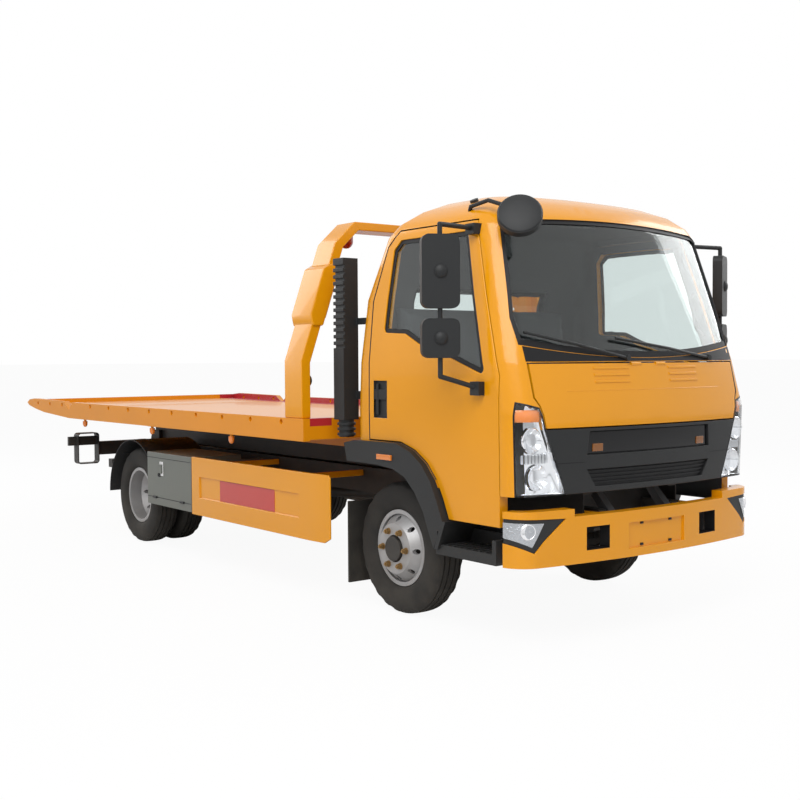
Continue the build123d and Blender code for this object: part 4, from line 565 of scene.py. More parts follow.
# Cab: pressed shell, doors and front lid in one orange coat, dark trim on the inner faces, black
# seals round the glass, and on the lid two groups of pressed slots and a long crease.
CAB_MIDDLE = Vector((0.35, 0, 1.5))
INWARD = 0.25
FLOOR_PAN_Z = 0.96
HINGE_ARM_Y = 0.30
HINGE_ARM_Z = 0.90
GRIP_X = -0.098
GRIP_ENDS = (1.172, 1.343)
GRIP_R = 0.009
GRIP_POST = 0.014
HANDLE_X = (-0.130, 0.002)
HANDLE_Z = (1.148, 1.367)
SCREEN_SEAL = 0.034
WINDOW_SEAL = 0.024
SEAL_T = 0.006
FAR_AHEAD = 5.0
SEARCH_STEPS = 40
SEARCH_PITCH = 0.002
SLOT_Y = (0.163, 0.421)
SLOT_Z = (1.360, 1.396, 1.432)
SLOT_H = 0.014
SLOT_PROUD = 0.0045
CREASE_PROUD = 0.0015
CREASE = ((-0.62, 1.318), (0.62, 1.318), (0.62, 1.3225), (-0.62, 1.3225))
COWL_STEPS = 24
COWL_PROUD = Vector((0.003, 0, 0))
COWL_HALF = 0.842
COWL_LOW = 1.474
COWL_RISE = 0.064
SILL_Z = 1.490
GLASS_IOR = 1.45


def clear_finish(name, tint):
    """Clear glass or lens that lets light in: shadow rays pass straight through it."""
    material = bpy.data.materials.new(name)
    material.use_nodes = True
    tree = material.node_tree
    colour = (*tint, 1)
    shader = tree.nodes["Principled BSDF"]
    clear = (("Base Color", colour), ("Roughness", 0), ("IOR", GLASS_IOR), ("Transmission Weight", 1))
    feed(tree, shader, clear)
    path = add_node(tree, "ShaderNodeLightPath")
    through = add_node(tree, "ShaderNodeBsdfTransparent", (("Color", colour),))
    ways = ((0, path.outputs["Is Shadow Ray"]), (1, shader.outputs[0]), (2, through.outputs[0]))
    mix = add_node(tree, "ShaderNodeMixShader", ways)
    feed(tree, tree.nodes["Material Output"], (("Surface", mix.outputs[0]),))
    return material


def lined(centre, normal):
    """Trim on the cab's inner faces and under its floor, paint elsewhere."""
    inner = normal.dot((CAB_MIDDLE - centre).normalized()) > INWARD
    arm = abs(centre.y) < HINGE_ARM_Y and centre.z < HINGE_ARM_Z
    return int(inner or arm or (centre.z < FLOOR_PAN_Z and normal.z < -0.5))


def door_lined(centre, normal):
    """Trim on a door's inner face, black plastic in the pocket of its handle."""
    if normal.y * centre.y < -0.5:
        return 1
    return 2 if HANDLE_X[0] < centre.x < HANDLE_X[1] and HANDLE_Z[0] < centre.z < HANDLE_Z[1] else 0


def lid_lined(centre, normal):
    """Trim behind the front lid."""
    return int(normal.x < -0.5)


def surface_of(*nodes):
    """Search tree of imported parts' faces, for laying pieces on them."""
    shape = bmesh.new()
    for node in nodes:
        shape.from_mesh(NODES[node].data)
    tree = BVHTree.FromBMesh(shape)
    shape.free()
    return tree


def front_spot(tree, y, z):
    """Point of a surface seen from ahead, or the nearest one beside it."""
    for step in range(SEARCH_STEPS):
        for aside in (step * SEARCH_PITCH, -step * SEARCH_PITCH):
            hit = tree.ray_cast(Vector((FAR_AHEAD, y + aside, z)), Vector((-1, 0, 0)))[0]
            if hit is not None:
                return hit
    raise ValueError(f"no surface ahead of y {y}, z {z}")


def on_side(s, near, far):
    """Low and high y of a stretch on one side, given by its distances from the middle."""
    return sorted((s * near, s * far))


def half_plate(row, s):
    """Corners of a plate on one half of the front: nearest and farthest y, low and high z."""
    near, far, low, high = row
    first, last = on_side(s, near, far)
    return ((first, low), (last, low), (last, high), (first, high))


def add_sheet(shape, front, back):
    """Closed plate between two grids of points, given row by row."""
    grids = [[[shape.verts.new(p) for p in row] for row in grid] for grid in (front, back)]
    rows = len(front)
    columns = len(front[0])
    for grid in grids:
        for j in range(rows - 1):
            for i in range(columns - 1):
                shape.faces.new((grid[j][i], grid[j][i + 1], grid[j + 1][i + 1], grid[j + 1][i]))
    border = [(0, i) for i in range(columns)] + [(j, columns - 1) for j in range(1, rows)]
    border += [(rows - 1, i) for i in range(columns - 2, -1, -1)] + [(j, 0) for j in range(rows - 2, 0, -1)]
    for (j, i), (m, k) in zip(border, border[1:] + border[:1]):
        shape.faces.new((grids[0][j][i], grids[0][m][k], grids[1][m][k], grids[1][j][i]))


def front_patch(shape, tree, corners, lift, depth=0.003, columns=10, rows=2):
    """Plate that follows a front surface between four (y, z) corners, bottom row first."""
    (ay, az), (by, bz), (cy, cz), (dy, dz) = corners
    front = []
    back = []
    for j in range(rows + 1):
        v = j / rows
        front.append([])
        back.append([])
        for i in range(columns + 1):
            u = i / columns
            y = (ay + (by - ay) * u) * (1 - v) + (dy + (cy - dy) * u) * v
            z = (az + (bz - az) * u) * (1 - v) + (dz + (cz - dz) * u) * v
            spot = front_spot(tree, y, z)
            front[-1].append(spot + Vector((lift, 0, 0)))
            back[-1].append(spot - Vector((depth, 0, 0)))
    add_sheet(shape, front, back)


def seal(node, width, outer, name):
    """Black rubber strip along the edge of a pane's outer face."""
    shape = merged(node)
    gone = [f for f in shape.faces if not outer(f.calc_center_median() - at(0, 0, 0), f.normal)]
    bmesh.ops.delete(shape, geom=gone, context="FACES")
    edge = bmesh.ops.inset_region(
        shape, faces=shape.faces[:], thickness=width, use_boundary=True, use_even_offset=True
    )["faces"]
    kept = set(edge)
    bmesh.ops.delete(shape, geom=[f for f in shape.faces if f not in kept], context="FACES")
    piece = walled(new_piece(name, shape, seal_rubber), SEAL_T, 1)
    return carried(piece, node)


paint = finish(
    "yellow_paint", (0.75, 0.300, 0.002), 0.24, coat=0.3, drift=0.06, grain=(70, 0.00004), shine=0.3
)
cab_trim = finish("cab_trim", (0.06, 0.062, 0.066), 0.7, grain=(500, 0.0006))
seal_rubber = finish("seal_rubber", (0.008, 0.008, 0.009), 0.5, grain=(500, 0.0002), shine=0.25)
black_plastic = finish(
    "black_plastic", (0.017, 0.018, 0.019), 0.48, grain=(650, 0.0005), dust=0.08, shine=0.3
)
glass = clear_finish("clear_glass", (0.80, 0.86, 0.85))
dress("cab_shell", paint, 0.004, (cab_trim,), lined)
dress("front_lid", paint, 0.004, (cab_trim,), lid_lined)
dress("cab_glass", glass)
seal(
    "cab_glass",
    SCREEN_SEAL,
    lambda c, n: (c.x > 0.3 and n.x > 0.3) or (c.x < 0 and n.x < -0.3),
    "screen_seals",
)
for name, s in SIDES:
    dress(f"door_{name}", paint, 0.004, (cab_trim, black_plastic), door_lined)
    dress(f"door_glass_{name}", glass)
    seal(f"door_glass_{name}", WINDOW_SEAL, lambda c, n: c.y * n.y > 0.5, f"window_seal_{name}")
    skin = max(abs(corner.y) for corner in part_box(f"door_{name}"))
    grip = bmesh.new()
    low, high = ((GRIP_X, s * (skin - GRIP_R - 0.001), z) for z in GRIP_ENDS)
    add_rod(grip, low, high, GRIP_R, steps=20)
    for x, y, z in (low, high):
        add_rod(grip, (x, y, z), (x, y - s * GRIP_POST, z), GRIP_R * 0.8, steps=16)
    fitted(f"door_grip_{name}", grip, black_plastic, f"door_{name}")
lid_face = surface_of("front_lid")
slots = bmesh.new()
for _, s in SIDES:
    for z in SLOT_Z:
        front_patch(slots, lid_face, half_plate((*SLOT_Y, z, z + SLOT_H), s), SLOT_PROUD)
front_patch(slots, lid_face, CREASE, CREASE_PROUD, columns=24)
fitted("lid_slots", slots, paint, "front_lid", 0.003)
cab_face = surface_of("cab_shell")
cowl = bmesh.new()
cowl_rows = ([], [])
for k in range(COWL_STEPS + 1):
    y = COWL_HALF * (2 * k / COWL_STEPS - 1)
    top = SILL_Z + COWL_RISE * (y / COWL_HALF) ** 2
    for row, z in zip(cowl_rows, (COWL_LOW, top)):
        row.append(front_spot(cab_face, y, z))
cowl_front, cowl_back = ([[p + d * COWL_PROUD for p in row] for row in cowl_rows] for d in (1, -1))
add_sheet(cowl, cowl_front, cowl_back)
fitted("cowl_band", cowl, seal_rubber, "cab_shell")

# Inside the cab: moulded dashboard with an instrument hood, steering wheel, grab handle on the
# left pillar, and stuffed seats whose covers are blown up by cloth simulation.
SEAT_STEPS = 14
SEAT_VOXEL = 0.013
SEAT_SWELL = 0.022
SEAT_PRESSURE = 4.0
# Columns: middle y and width of each seat
SEAT_ROWS = ((0.40, 0.52), (-0.33, 0.86))
# Side outlines of a cushion and of a backrest, from the front axle
CUSHION = ((0.255, 1.02), (0.275, 1.18), (0.25, 1.235), (-0.03, 1.205), (-0.07, 1.02))
BACKREST = ((-0.055, 1.21), (-0.145, 1.75), (-0.16, 1.815), (-0.215, 1.815), (-0.19, 1.21))
SEAT_SIDE_IN = 0.022
HOOD_BOX = ((0.735, 0.86), (0.22, 0.58), (1.425, 1.468))
VENT_BOX = ((0, 0.012), (0, 0.11), (0, 0.006))
VENTS = 5
VENT_FIRST = (0.706, -0.10, 1.33)
VENT_STEP = (0.0019, 0, 0.012)
GRAB = ((0.865, 0.815, 1.62), (0.845, 0.785, 1.66), (0.80, 0.768, 1.84), (0.802, 0.795, 1.88))
GRAB_R = 0.011


def stuffed(name, outline, middle, width):
    """Cushion: a closed block in cloth, swollen by air and held to a small travel."""
    shape = bmesh.new()
    ends = [middle - width / 2 + SEAT_SIDE_IN, middle + width / 2 - SEAT_SIDE_IN]
    loops = [[shape.verts.new(at(x, y, z)) for x, z in outline] for y in ends]
    for loop in loops:
        shape.faces.new(loop)
    for i in range(len(outline)):
        j = (i + 1) % len(outline)
        shape.faces.new((loops[0][i], loops[0][j], loops[1][j], loops[1][i]))
    bmesh.ops.recalc_face_normals(shape, faces=shape.faces)
    piece = new_piece(name, shape, seat_fabric)
    skin = piece.modifiers.new("skin", "REMESH")
    skin.mode = "VOXEL"
    skin.voxel_size = SEAT_VOXEL
    settle(piece)
    home = [v.co.copy() for v in piece.data.vertices]
    cover = piece.modifiers.new("cover", "CLOTH")
    cover.settings.use_pressure = True
    cover.settings.uniform_pressure_force = SEAT_PRESSURE
    cover.settings.effector_weights.gravity = 0
    for k in range(1, SEAT_STEPS + 1):
        scene.frame_set(k)
    settle(piece)
    scene.frame_set(1)
    for vertex, start in zip(piece.data.vertices, home):
        travel = vertex.co - start
        if travel.length > SEAT_SWELL:
            vertex.co = start + travel.normalized() * SEAT_SWELL
    if not piece.data.materials:
        piece.data.materials.append(seat_fabric)
    piece.data.shade_smooth()
    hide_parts("seats")
    return carried(piece, "seats")


seat_fabric = finish("seat_fabric", (0.055, 0.056, 0.062), 0.85, drift=0.3, grain=(420, 0.0012))
for k, (middle, width) in enumerate(SEAT_ROWS):
    stuffed(f"seat_cushion_{k}", CUSHION, middle, width)
    stuffed(f"seat_back_{k}", BACKREST, middle, width)
dress("dashboard", black_plastic, 0.02)
dress("steering_wheel", black_plastic, 0.003)


def add_box(shape, x, y, z):
    """Box between three (low, high) pairs, x from the front axle."""
    middle = at(sum(x) / 2, sum(y) / 2, sum(z) / 2)
    size = Matrix.Diagonal((x[1] - x[0], y[1] - y[0], z[1] - z[0], 1))
    bmesh.ops.create_cube(shape, size=1, matrix=Matrix.Translation(middle) @ size)


hood = bmesh.new()
add_box(hood, *HOOD_BOX)
fitted("instrument_hood", hood, black_plastic, "dashboard", 0.016)
vents = bmesh.new()
add_box(vents, *VENT_BOX)
vent_place = Matrix.Translation((-AXLE_X, 0, 0))
repeated(
    "dash_vents", row_tree, vents, seal_rubber, vent_place, "dashboard", "black_plastic",
    **{"Count": VENTS, "Start Location": at(*VENT_FIRST), "Offset": VENT_STEP},
)
handle = bmesh.new()
for start, end in zip(GRAB, GRAB[1:]):
    add_rod(handle, start, end, GRAB_R, steps=12)
fitted("grab_handle", handle, black_plastic, "cab_shell")

# Front end: moulded charcoal grille with a glossy window and two amber lamps in it, deep corner
# headlamps behind clear lenses, and the painted bumper with its fog lamps and plate clips.
GRILLE_WINDOW = ((-0.492, 0.992), (0.492, 0.992), (0.480, 1.102), (-0.480, 1.102))
GRILLE_MESH = ((0.440, 0.822), (0.494, 0.903))
# Columns: nearest and farthest y, low and high z of plates on each half of the front
GRILLE_LAMP = (0.385, 0.458, 1.000, 1.042)
PAD_BREAK = (0.52, 0.700, 0.9465, 0.9505)
SLATS = 4
SLAT_H = 0.008
# How far pieces stand out from the grille's face
WINDOW_PROUD = 0.010
SLAT_PROUD = 0.012
LAMP_PROUD = 0.016
BREAK_PROUD = 0.0006
LAMP_SIDE = Vector((0.6, 0.8, 0))
LAMP_IN_Y = 0.66
LAMP_OUT_Y = 0.96
LENS_RIM = 0.010
TRAY_DEPTH = 0.042
LENS_T = 0.003
INDICATOR = (0.800, 0.925, 1.165, 1.228)
GUIDE_STRIP = (0.928, 0.956, 0.800, 1.150)
# How far these two lie behind the lens, and how far back they reach
AMBER_SINK = 0.016
GUIDE_SINK = 0.012
LAMP_BACK = 0.030
UPPER_BOWL = (0.838, 1.070)
LOWER_BOWL = (0.800, 0.880)
BOWL_R = 0.060
BOWL_DEPTH = 0.034
BOWL_SINK = Vector((0.024, 0, 0))
FLUTES = 8
FLUTE_FIRST_Y = 0.745
FLUTE_PITCH = 0.020
FLUTE_Z = (0.952, 0.998)
FLUTE_SINK = 0.030
FLUTE_R = 0.009
FOG_LENS = ((0.872, 0.532), (0.966, 0.578), (0.966, 0.657), (0.802, 0.652))
FOG_AT = (0.890, 0.612)
FOG_R = 0.034
FOG_TURN = radians(24)
FOG_PROUD = 0.0035
FOG_BOWL_PROUD = Vector((0.003, 0, 0))
FOG_BOWL_DEPTH = 0.004
TOW_Y = (0.368, 0.532)
TOW_Z = (0.488, 0.614)
CLIP_Y = (-0.117, 0.117)
CLIP_Z = (0.484, 0.600)
CLIP_SIZE = (0.010, 0.022, 0.012, 1)
PLATE_FACE_X = 1.184


def bowl_outline(radius, depth):
    """Reflector: a dished bowl with a rolled rim, as (distance along its axis, radius)."""
    inner = [(depth * (k / 8) ** 2 - depth, radius * k / 8) for k in range(1, 9)]
    return [(-depth, 0.0), *inner, (0.003, radius + 0.003), (0.0, radius + 0.007), (-0.012, radius + 0.007)]


def facing_front(place):
    """Matrix that turns a part's Y axis to the truck's front, at a place."""
    return Matrix.Translation(place) @ Matrix.Rotation(-pi / 2, 4, "Z")


gloss_black = finish(
    "gloss_black", (0.006, 0.006, 0.007), 0.08, coat=0.3, drift=0.02, grain=(40, 0.00001), shine=0.3
)
amber_lens = finish("amber_lens", (0.72, 0.19, 0.008), 0.14, coat=1.0, drift=0.2, grain=(320, 0.0006))
red_lens = finish("red_lens", (0.42, 0.008, 0.008), 0.14, coat=1.0, drift=0.2, grain=(320, 0.0006))
chrome = finish("lamp_chrome", (0.86, 0.87, 0.89), 0.09, metallic=1.0, drift=0.03, grain=(120, 0.0001))
lens_clear = clear_finish("lamp_lens", (0.97, 0.98, 0.99))
dress("grille", black_plastic, 0.004)
grille_face = surface_of("grille")
window = bmesh.new()
front_patch(window, grille_face, GRILLE_WINDOW, WINDOW_PROUD, columns=24)
fitted("grille_window", window, gloss_black, "grille", 0.001)
slats = bmesh.new()
(low_y, low_z), (high_y, high_z) = GRILLE_MESH
for k in range(SLATS):
    z = low_z + (high_z - low_z) * (k + 0.5) / SLATS
    half = low_y + (high_y - low_y) * (k + 0.5) / SLATS
    front_patch(slats, grille_face, half_plate((-half, half, z, z + SLAT_H), 1), SLAT_PROUD)
fitted("grille_slats", slats, seal_rubber, "grille", 0.001)
ambers = bmesh.new()
breaks = bmesh.new()
for _, s in SIDES:
    front_patch(ambers, grille_face, half_plate(GRILLE_LAMP, s), LAMP_PROUD, columns=4)
    front_patch(breaks, grille_face, half_plate(PAD_BREAK, s), BREAK_PROUD)
dim_amber = finish("dim_amber", (0.22, 0.075, 0.010), 0.2, coat=0.6, drift=0.2, grain=(320, 0.0006))
fitted("grille_lamps", ambers, dim_amber, "grille", 0.004)
fitted("grille_breaks", breaks, seal_rubber, "grille")


def lamp_outer(face):
    """True for a headlamp's faces that show from outside."""
    outward = LAMP_SIDE.copy()
    if face.calc_center_median().y <= 0:
        outward.y = -outward.y
    return face.normal.dot(outward) > 0.45 and abs(face.normal.z) < 0.5


tray = merged("headlamps")
outer_faces = [f for f in tray.faces if lamp_outer(f)]
rim = bmesh.ops.inset_region(tray, faces=outer_faces, thickness=LENS_RIM, use_boundary=True)
for face in rim["faces"]:
    face.material_index = 1
sunk = bmesh.ops.extrude_face_region(tray, geom=outer_faces)["geom"]
floor_points = [v for v in sunk if isinstance(v, bmesh.types.BMVert)]
for vertex in floor_points:
    aside = min(1, max(0, (abs(vertex.co.y) - LAMP_IN_Y) / (LAMP_OUT_Y - LAMP_IN_Y)))
    vertex.co -= TRAY_DEPTH * Vector((1, aside if vertex.co.y > 0 else -aside, 0))
bmesh.ops.delete(tray, geom=outer_faces, context="FACES")
for vertex in floor_points:
    for face in vertex.link_faces:
        face.material_index = 0
piece = new_piece("headlamp_housings", tray, chrome, seal_rubber)
even_shading(piece)
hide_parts("headlamps")
carried(piece, "headlamps")
lens = merged("headlamps")
gone = [f for f in lens.faces if not lamp_outer(f)]
bmesh.ops.delete(lens, geom=gone, context="FACES")
piece = walled(new_piece("headlamp_lenses", lens, lens_clear), LENS_T, -1)
carried(piece, "headlamps")
lamp_face = surface_of("headlamps")
indicators, bowls, flutes, guides = (bmesh.new() for _ in range(4))
for _, s in SIDES:
    front_patch(indicators, lamp_face, half_plate(INDICATOR, s), -AMBER_SINK, LAMP_BACK, columns=8, rows=3)
    for reach, z in (UPPER_BOWL, LOWER_BOWL):
        centre = front_spot(lamp_face, s * reach, z) - BOWL_SINK
        turned(bowls, bowl_outline(BOWL_R, BOWL_DEPTH), facing_front(centre), 40)
    for k in range(FLUTES):
        y = s * (FLUTE_FIRST_Y + FLUTE_PITCH * k)
        spot = front_spot(lamp_face, y, sum(FLUTE_Z) / 2) - at(FLUTE_SINK, 0, 0)
        low, high = ((spot.x, spot.y, z) for z in FLUTE_Z)
        add_rod(flutes, low, high, FLUTE_R, steps=12)
    front_patch(guides, lamp_face, half_plate(GUIDE_STRIP, s), -GUIDE_SINK, LAMP_BACK, columns=4, rows=8)
guide_white = finish("guide_white", (0.80, 0.82, 0.84), 0.3, coat=0.5, drift=0.03)
fitted("headlamp_guides", guides, guide_white, "headlamps", 0.003)
fitted("headlamp_indicators", indicators, amber_lens, "headlamps", 0.004)
fitted("headlamp_bowls", bowls, chrome, "headlamps")
fitted("headlamp_flutes", flutes, chrome, "headlamps", 0.002)


def tow_lined(centre, normal):
    """Black inside the bumper's towing holes."""
    inside = TOW_Y[0] < abs(centre.y) < TOW_Y[1] and TOW_Z[0] < centre.z < TOW_Z[1]
    return int(inside and abs(normal.x) < 0.5)


dress("front_bumper", paint, 0.007, (seal_rubber,), tow_lined)
dress("fog_lamps", black_plastic, 0.004)
fog_face = surface_of("fog_lamps")
fog_lenses = bmesh.new()
fog_bowls = bmesh.new()
for _, s in SIDES:
    corners = [(s * y, z) for y, z in FOG_LENS]
    front_patch(fog_lenses, fog_face, corners, FOG_PROUD, columns=12, rows=8)
    centre = front_spot(fog_face, s * FOG_AT[0], FOG_AT[1]) + FOG_BOWL_PROUD
    place = facing_front(centre) @ Matrix.Rotation(s * FOG_TURN, 4, "Z")
    turned(fog_bowls, bowl_outline(FOG_R, FOG_BOWL_DEPTH), place, 36)
crystal = finish(
    "lamp_crystal", (0.46, 0.48, 0.51), 0.12, metallic=0.9, coat=0.5, drift=0.5, grain=(60, 0.008)
)
fitted("fog_lenses", fog_lenses, crystal, "fog_lamps", 0.002)
fitted("fog_bowls", fog_bowls, chrome, "fog_lamps")
clip = bmesh.new()
bmesh.ops.create_cube(clip, size=1, matrix=Matrix.Diagonal(CLIP_SIZE))
clip_step = (0, CLIP_Y[1] - CLIP_Y[0], 0)
for k, z in enumerate(CLIP_Z):
    repeated(
        f"plate_clips_{k}", row_tree, clip.copy(), seal_rubber, Matrix(), "front_bumper", "black_plastic",
        **{"Count": 2, "Start Location": at(PLATE_FACE_X, CLIP_Y[0], z), "Offset": clip_step},
    )
clip.free()

# Cab's outer fittings: charcoal arch flares with a side marker and ribbed step treads, mirrors
# on tubes, wipers, the round front-view mirror and the louvred intake stack.
MARKER_X = (-0.047, 0.092)
MARKER_Z = (0.912, 0.944)
MARKER_REACH = (0.981, 0.995)
TREAD_X = (0.505, 0.92)
TREAD_Y = (0.785, 0.962)
TREAD_TOP = 0.483
TREAD_RIBS = 9
HEAD_X = 0.735
HEAD_Y = 1.150
HEAD_TOE = radians(28)
HEAD_T = 0.060
# Columns: middle height, half height of each mirror head
HEADS = ((1.940, 0.190), (1.597, 0.102))
HEAD_HALF_W = 0.100
GLASS_IN = 0.014
# Columns: distance from a mirror head's front, radius of its round boss
BOSS_OUTLINE = ((-0.004, 0.0), (-0.004, 0.034), (0.006, 0.034), (0.014, 0.026), (0.018, 0.012), (0.019, 0.0))
DISH_AT = (0.950, -0.790, 2.228)
DISH_FACING = Vector((0.65, -0.60, 0.45))
DISH_R = 0.118
# Columns: distance along the round mirror's axis, share of its radius, for its shell and its glass
DISH_CROWN = ((0.016, 0), (0.016, 1), (0.018, 1), (0.028, 0.94), (0.036, 0.75), (0.041, 0.45), (0.043, 0))
DISH_PANE = ((-0.022, 0), (-0.022, 0.93), (-0.018, 0.93), (-0.018, 0))
dress("cab_flares", black_plastic, 0.006)
dress("wipers", black_plastic, 0.001)
dress("snorkel", black_plastic, 0.003)
dress("roof_mirror", black_plastic, 0.004)
mirror_glass = finish("mirror_glass", (0.80, 0.82, 0.84), 0.03, metallic=1.0, drift=0.01, grain=(20, 0.00001))
markers = bmesh.new()
rib = bmesh.new()
bmesh.ops.create_cube(rib, size=1, matrix=Matrix.Diagonal((0.012, TREAD_Y[1] - TREAD_Y[0], 0.006, 1)))
rib_pitch = (TREAD_X[1] - TREAD_X[0]) / (TREAD_RIBS - 1)
for name, s in SIDES:
    add_box(markers, MARKER_X, on_side(s, *MARKER_REACH), MARKER_Z)
    start = at(TREAD_X[0], s * sum(TREAD_Y) / 2, TREAD_TOP + 0.002)
    repeated(
        f"step_ribs_{name}", row_tree, rib.copy(), black_plastic, Matrix(), "cab_flares", "black_plastic",
        **{"Count": TREAD_RIBS, "Start Location": start, "Offset": (rib_pitch, 0, 0)},
    )
    dress(f"mirrors_{name}", black_plastic, 0.008)
    panes = bmesh.new()
    bosses = bmesh.new()
    front = Vector((cos(HEAD_TOE), s * sin(HEAD_TOE), 0))
    across = Vector((-front.y, front.x, 0))
    for z, half in HEADS:
        middle = at(HEAD_X, s * HEAD_Y, z)
        basis = Matrix((across, Vector((0, 0, 1)), front)).transposed().to_4x4()
        back = Matrix.Translation(middle - front * (HEAD_T / 2)) @ basis
        size = Matrix.Diagonal((2 * (HEAD_HALF_W - GLASS_IN), 2 * (half - GLASS_IN), 0.004, 1))
        bmesh.ops.create_cube(panes, size=1, matrix=back @ size)
        knob = Matrix.Translation(middle + front * (HEAD_T / 2)) @ basis @ Matrix.Rotation(pi / 2, 4, "X")
        turned(bosses, BOSS_OUTLINE, knob, 28)
    fitted(f"mirror_panes_{name}", panes, mirror_glass, f"mirrors_{name}", 0.0015)
    fitted(f"mirror_bosses_{name}", bosses, black_plastic, f"mirrors_{name}")
rib.free()
fitted("flare_markers", markers, amber_lens, "cab_flares", 0.004)
dish_place = Matrix.Translation(at(*DISH_AT)) @ DISH_FACING.to_track_quat("Y", "Z").to_matrix().to_4x4()
for name, outline, material in (
    ("roof_mirror_crown", DISH_CROWN, black_plastic),
    ("roof_mirror_pane", DISH_PANE, mirror_glass),
):
    dish = bmesh.new()
    turned(dish, [(u, DISH_R * share) for u, share in outline], dish_place, 48)
    fitted(name, dish, material, "roof_mirror")

# Tilt frame and its cylinders: welded black beams that the bed slides on, lifted by chromed rods,
# and below the tail the hinged boom of the wheel lift.
rod_chrome = finish("rod_chrome", (0.75, 0.75, 0.76), 0.08, metallic=1.0, drift=0.05, grain=(150, 0.00005))
dress("tilt_frame", black_steel, 0.003)
dress("cylinder_barrels", black_steel, 0.002)
dress("cylinder_rods", rod_chrome, 0.001)
dress("lift_boom", black_steel, 0.004)

# Bed: pressed rails and deck in the cab's orange, with red inner rail faces and, on the deck beside
# the rails, a painted reflection of that red; the ramp tail, and the gantry arch with its lamps.
# Red of the rails' inner faces, also laid on the deck beside them as a painted reflection of the rails: y
# where it starts and ends, height of the deck, the red
RED_REFLECTION_START_Y = 0.91
RED_END_Y = 1.0715
DECK_Z = 1.0795
RAIL_RED_AND_REFLECTION = (0.46, 0.022, 0.030, 1)
# Columns: distance from the domed lamp's seat, share of its radius
DOME_OUTLINE = (
    (-0.016, 0.0),
    (-0.016, 1.0),
    (0.004, 1.0),
    (0.011, 0.93),
    (0.019, 0.72),
    (0.024, 0.4),
    (0.0255, 0.0),
)
CASE_LAMPS = 3
CASE_LAMP_R = 0.036
CASE_LAMP_X = -0.880
CASE_LAMP_LOW = 1.810
CASE_LAMP_PITCH = 0.105
CASE_LAMP_IN = 0.015
# Foot and head of a leg's leaning part: y of its inner side, height
LEG_FOOT = (1.044, 1.470)
LEG_HEAD = (0.790, 2.198)
BEACON_AT = (-0.760, 0.700, 2.250)
BEACON_R = 0.045
WORK_LAMP_X = (-0.730, -0.810)
WORK_LAMP_Y = 1.030
WORK_LAMP_Z = 1.360
WORK_LAMP_R = 0.045
# Lamp case on a leg: heights of its corners, its reach past the leg's outer and inner sides
CASE_Z = (1.700, 1.770, 2.060, 2.090)
CASE_OUT = (0.000, 0.040, 0.040, 0.000)
CASE_IN = 0.012
CASE_X = (-0.884, -0.646)
LEG_OUT = 0.066
MARKERS_X = (-4.150, -2.815, -1.570)
MARKER_Y = 1.100
MARKER_SEAT_Z = 0.954
MARKER_R = 0.020
STALK_Z = (0.952, 0.992)
STALK_R = 0.011


def make_bed_paint_and_reflection():
    """Orange bed paint, red on the rails' inner faces, and on the deck beside them a painted reflection of
    that red.
    """
    material = finish(
        "bed_paint_and_reflection", (0.74, 0.265, 0.003), 0.32, coat=0.2, grain=(70, 0.00005), dust=0.10, shine=0.3
    )
    tree = material.node_tree
    base = tree.nodes["Principled BSDF"].inputs["Base Color"]
    plain = base.links[0].from_socket
    axes = object_axes(tree)
    aside = calc(tree, "ABSOLUTE", axes["Y"])
    past = calc(tree, "GREATER_THAN", aside, RED_REFLECTION_START_Y)
    short = calc(tree, "LESS_THAN", aside, RED_END_Y)
    above = calc(tree, "GREATER_THAN", axes["Z"], DECK_Z)
    # Mask of the real red rail faces and of the painted reflection of the red rails on the deck beside them
    rail_and_reflection_mask = calc(tree, "MULTIPLY", calc(tree, "MULTIPLY", past, short), above)
    tree.links.new(blended(tree, rail_and_reflection_mask, plain, RAIL_RED_AND_REFLECTION), base)
    return material


def leg_y(z):
    """Distance of a gantry leg's inner side from the middle, at a height."""
    lean = (LEG_HEAD[0] - LEG_FOOT[0]) / (LEG_HEAD[1] - LEG_FOOT[1])
    return LEG_FOOT[0] + lean * (z - LEG_FOOT[1])


def add_dome(shape, centre, radius, direction, tall):
    """Domed lamp lens on a seat, facing a direction, its height a multiple of the outline's."""
    outline = [(u * tall, radius * share) for u, share in DOME_OUTLINE]
    turn = Vector(direction).to_track_quat("Y", "Z").to_matrix().to_4x4()
    turned(shape, outline, Matrix.Translation(at(*centre)) @ turn, 32)


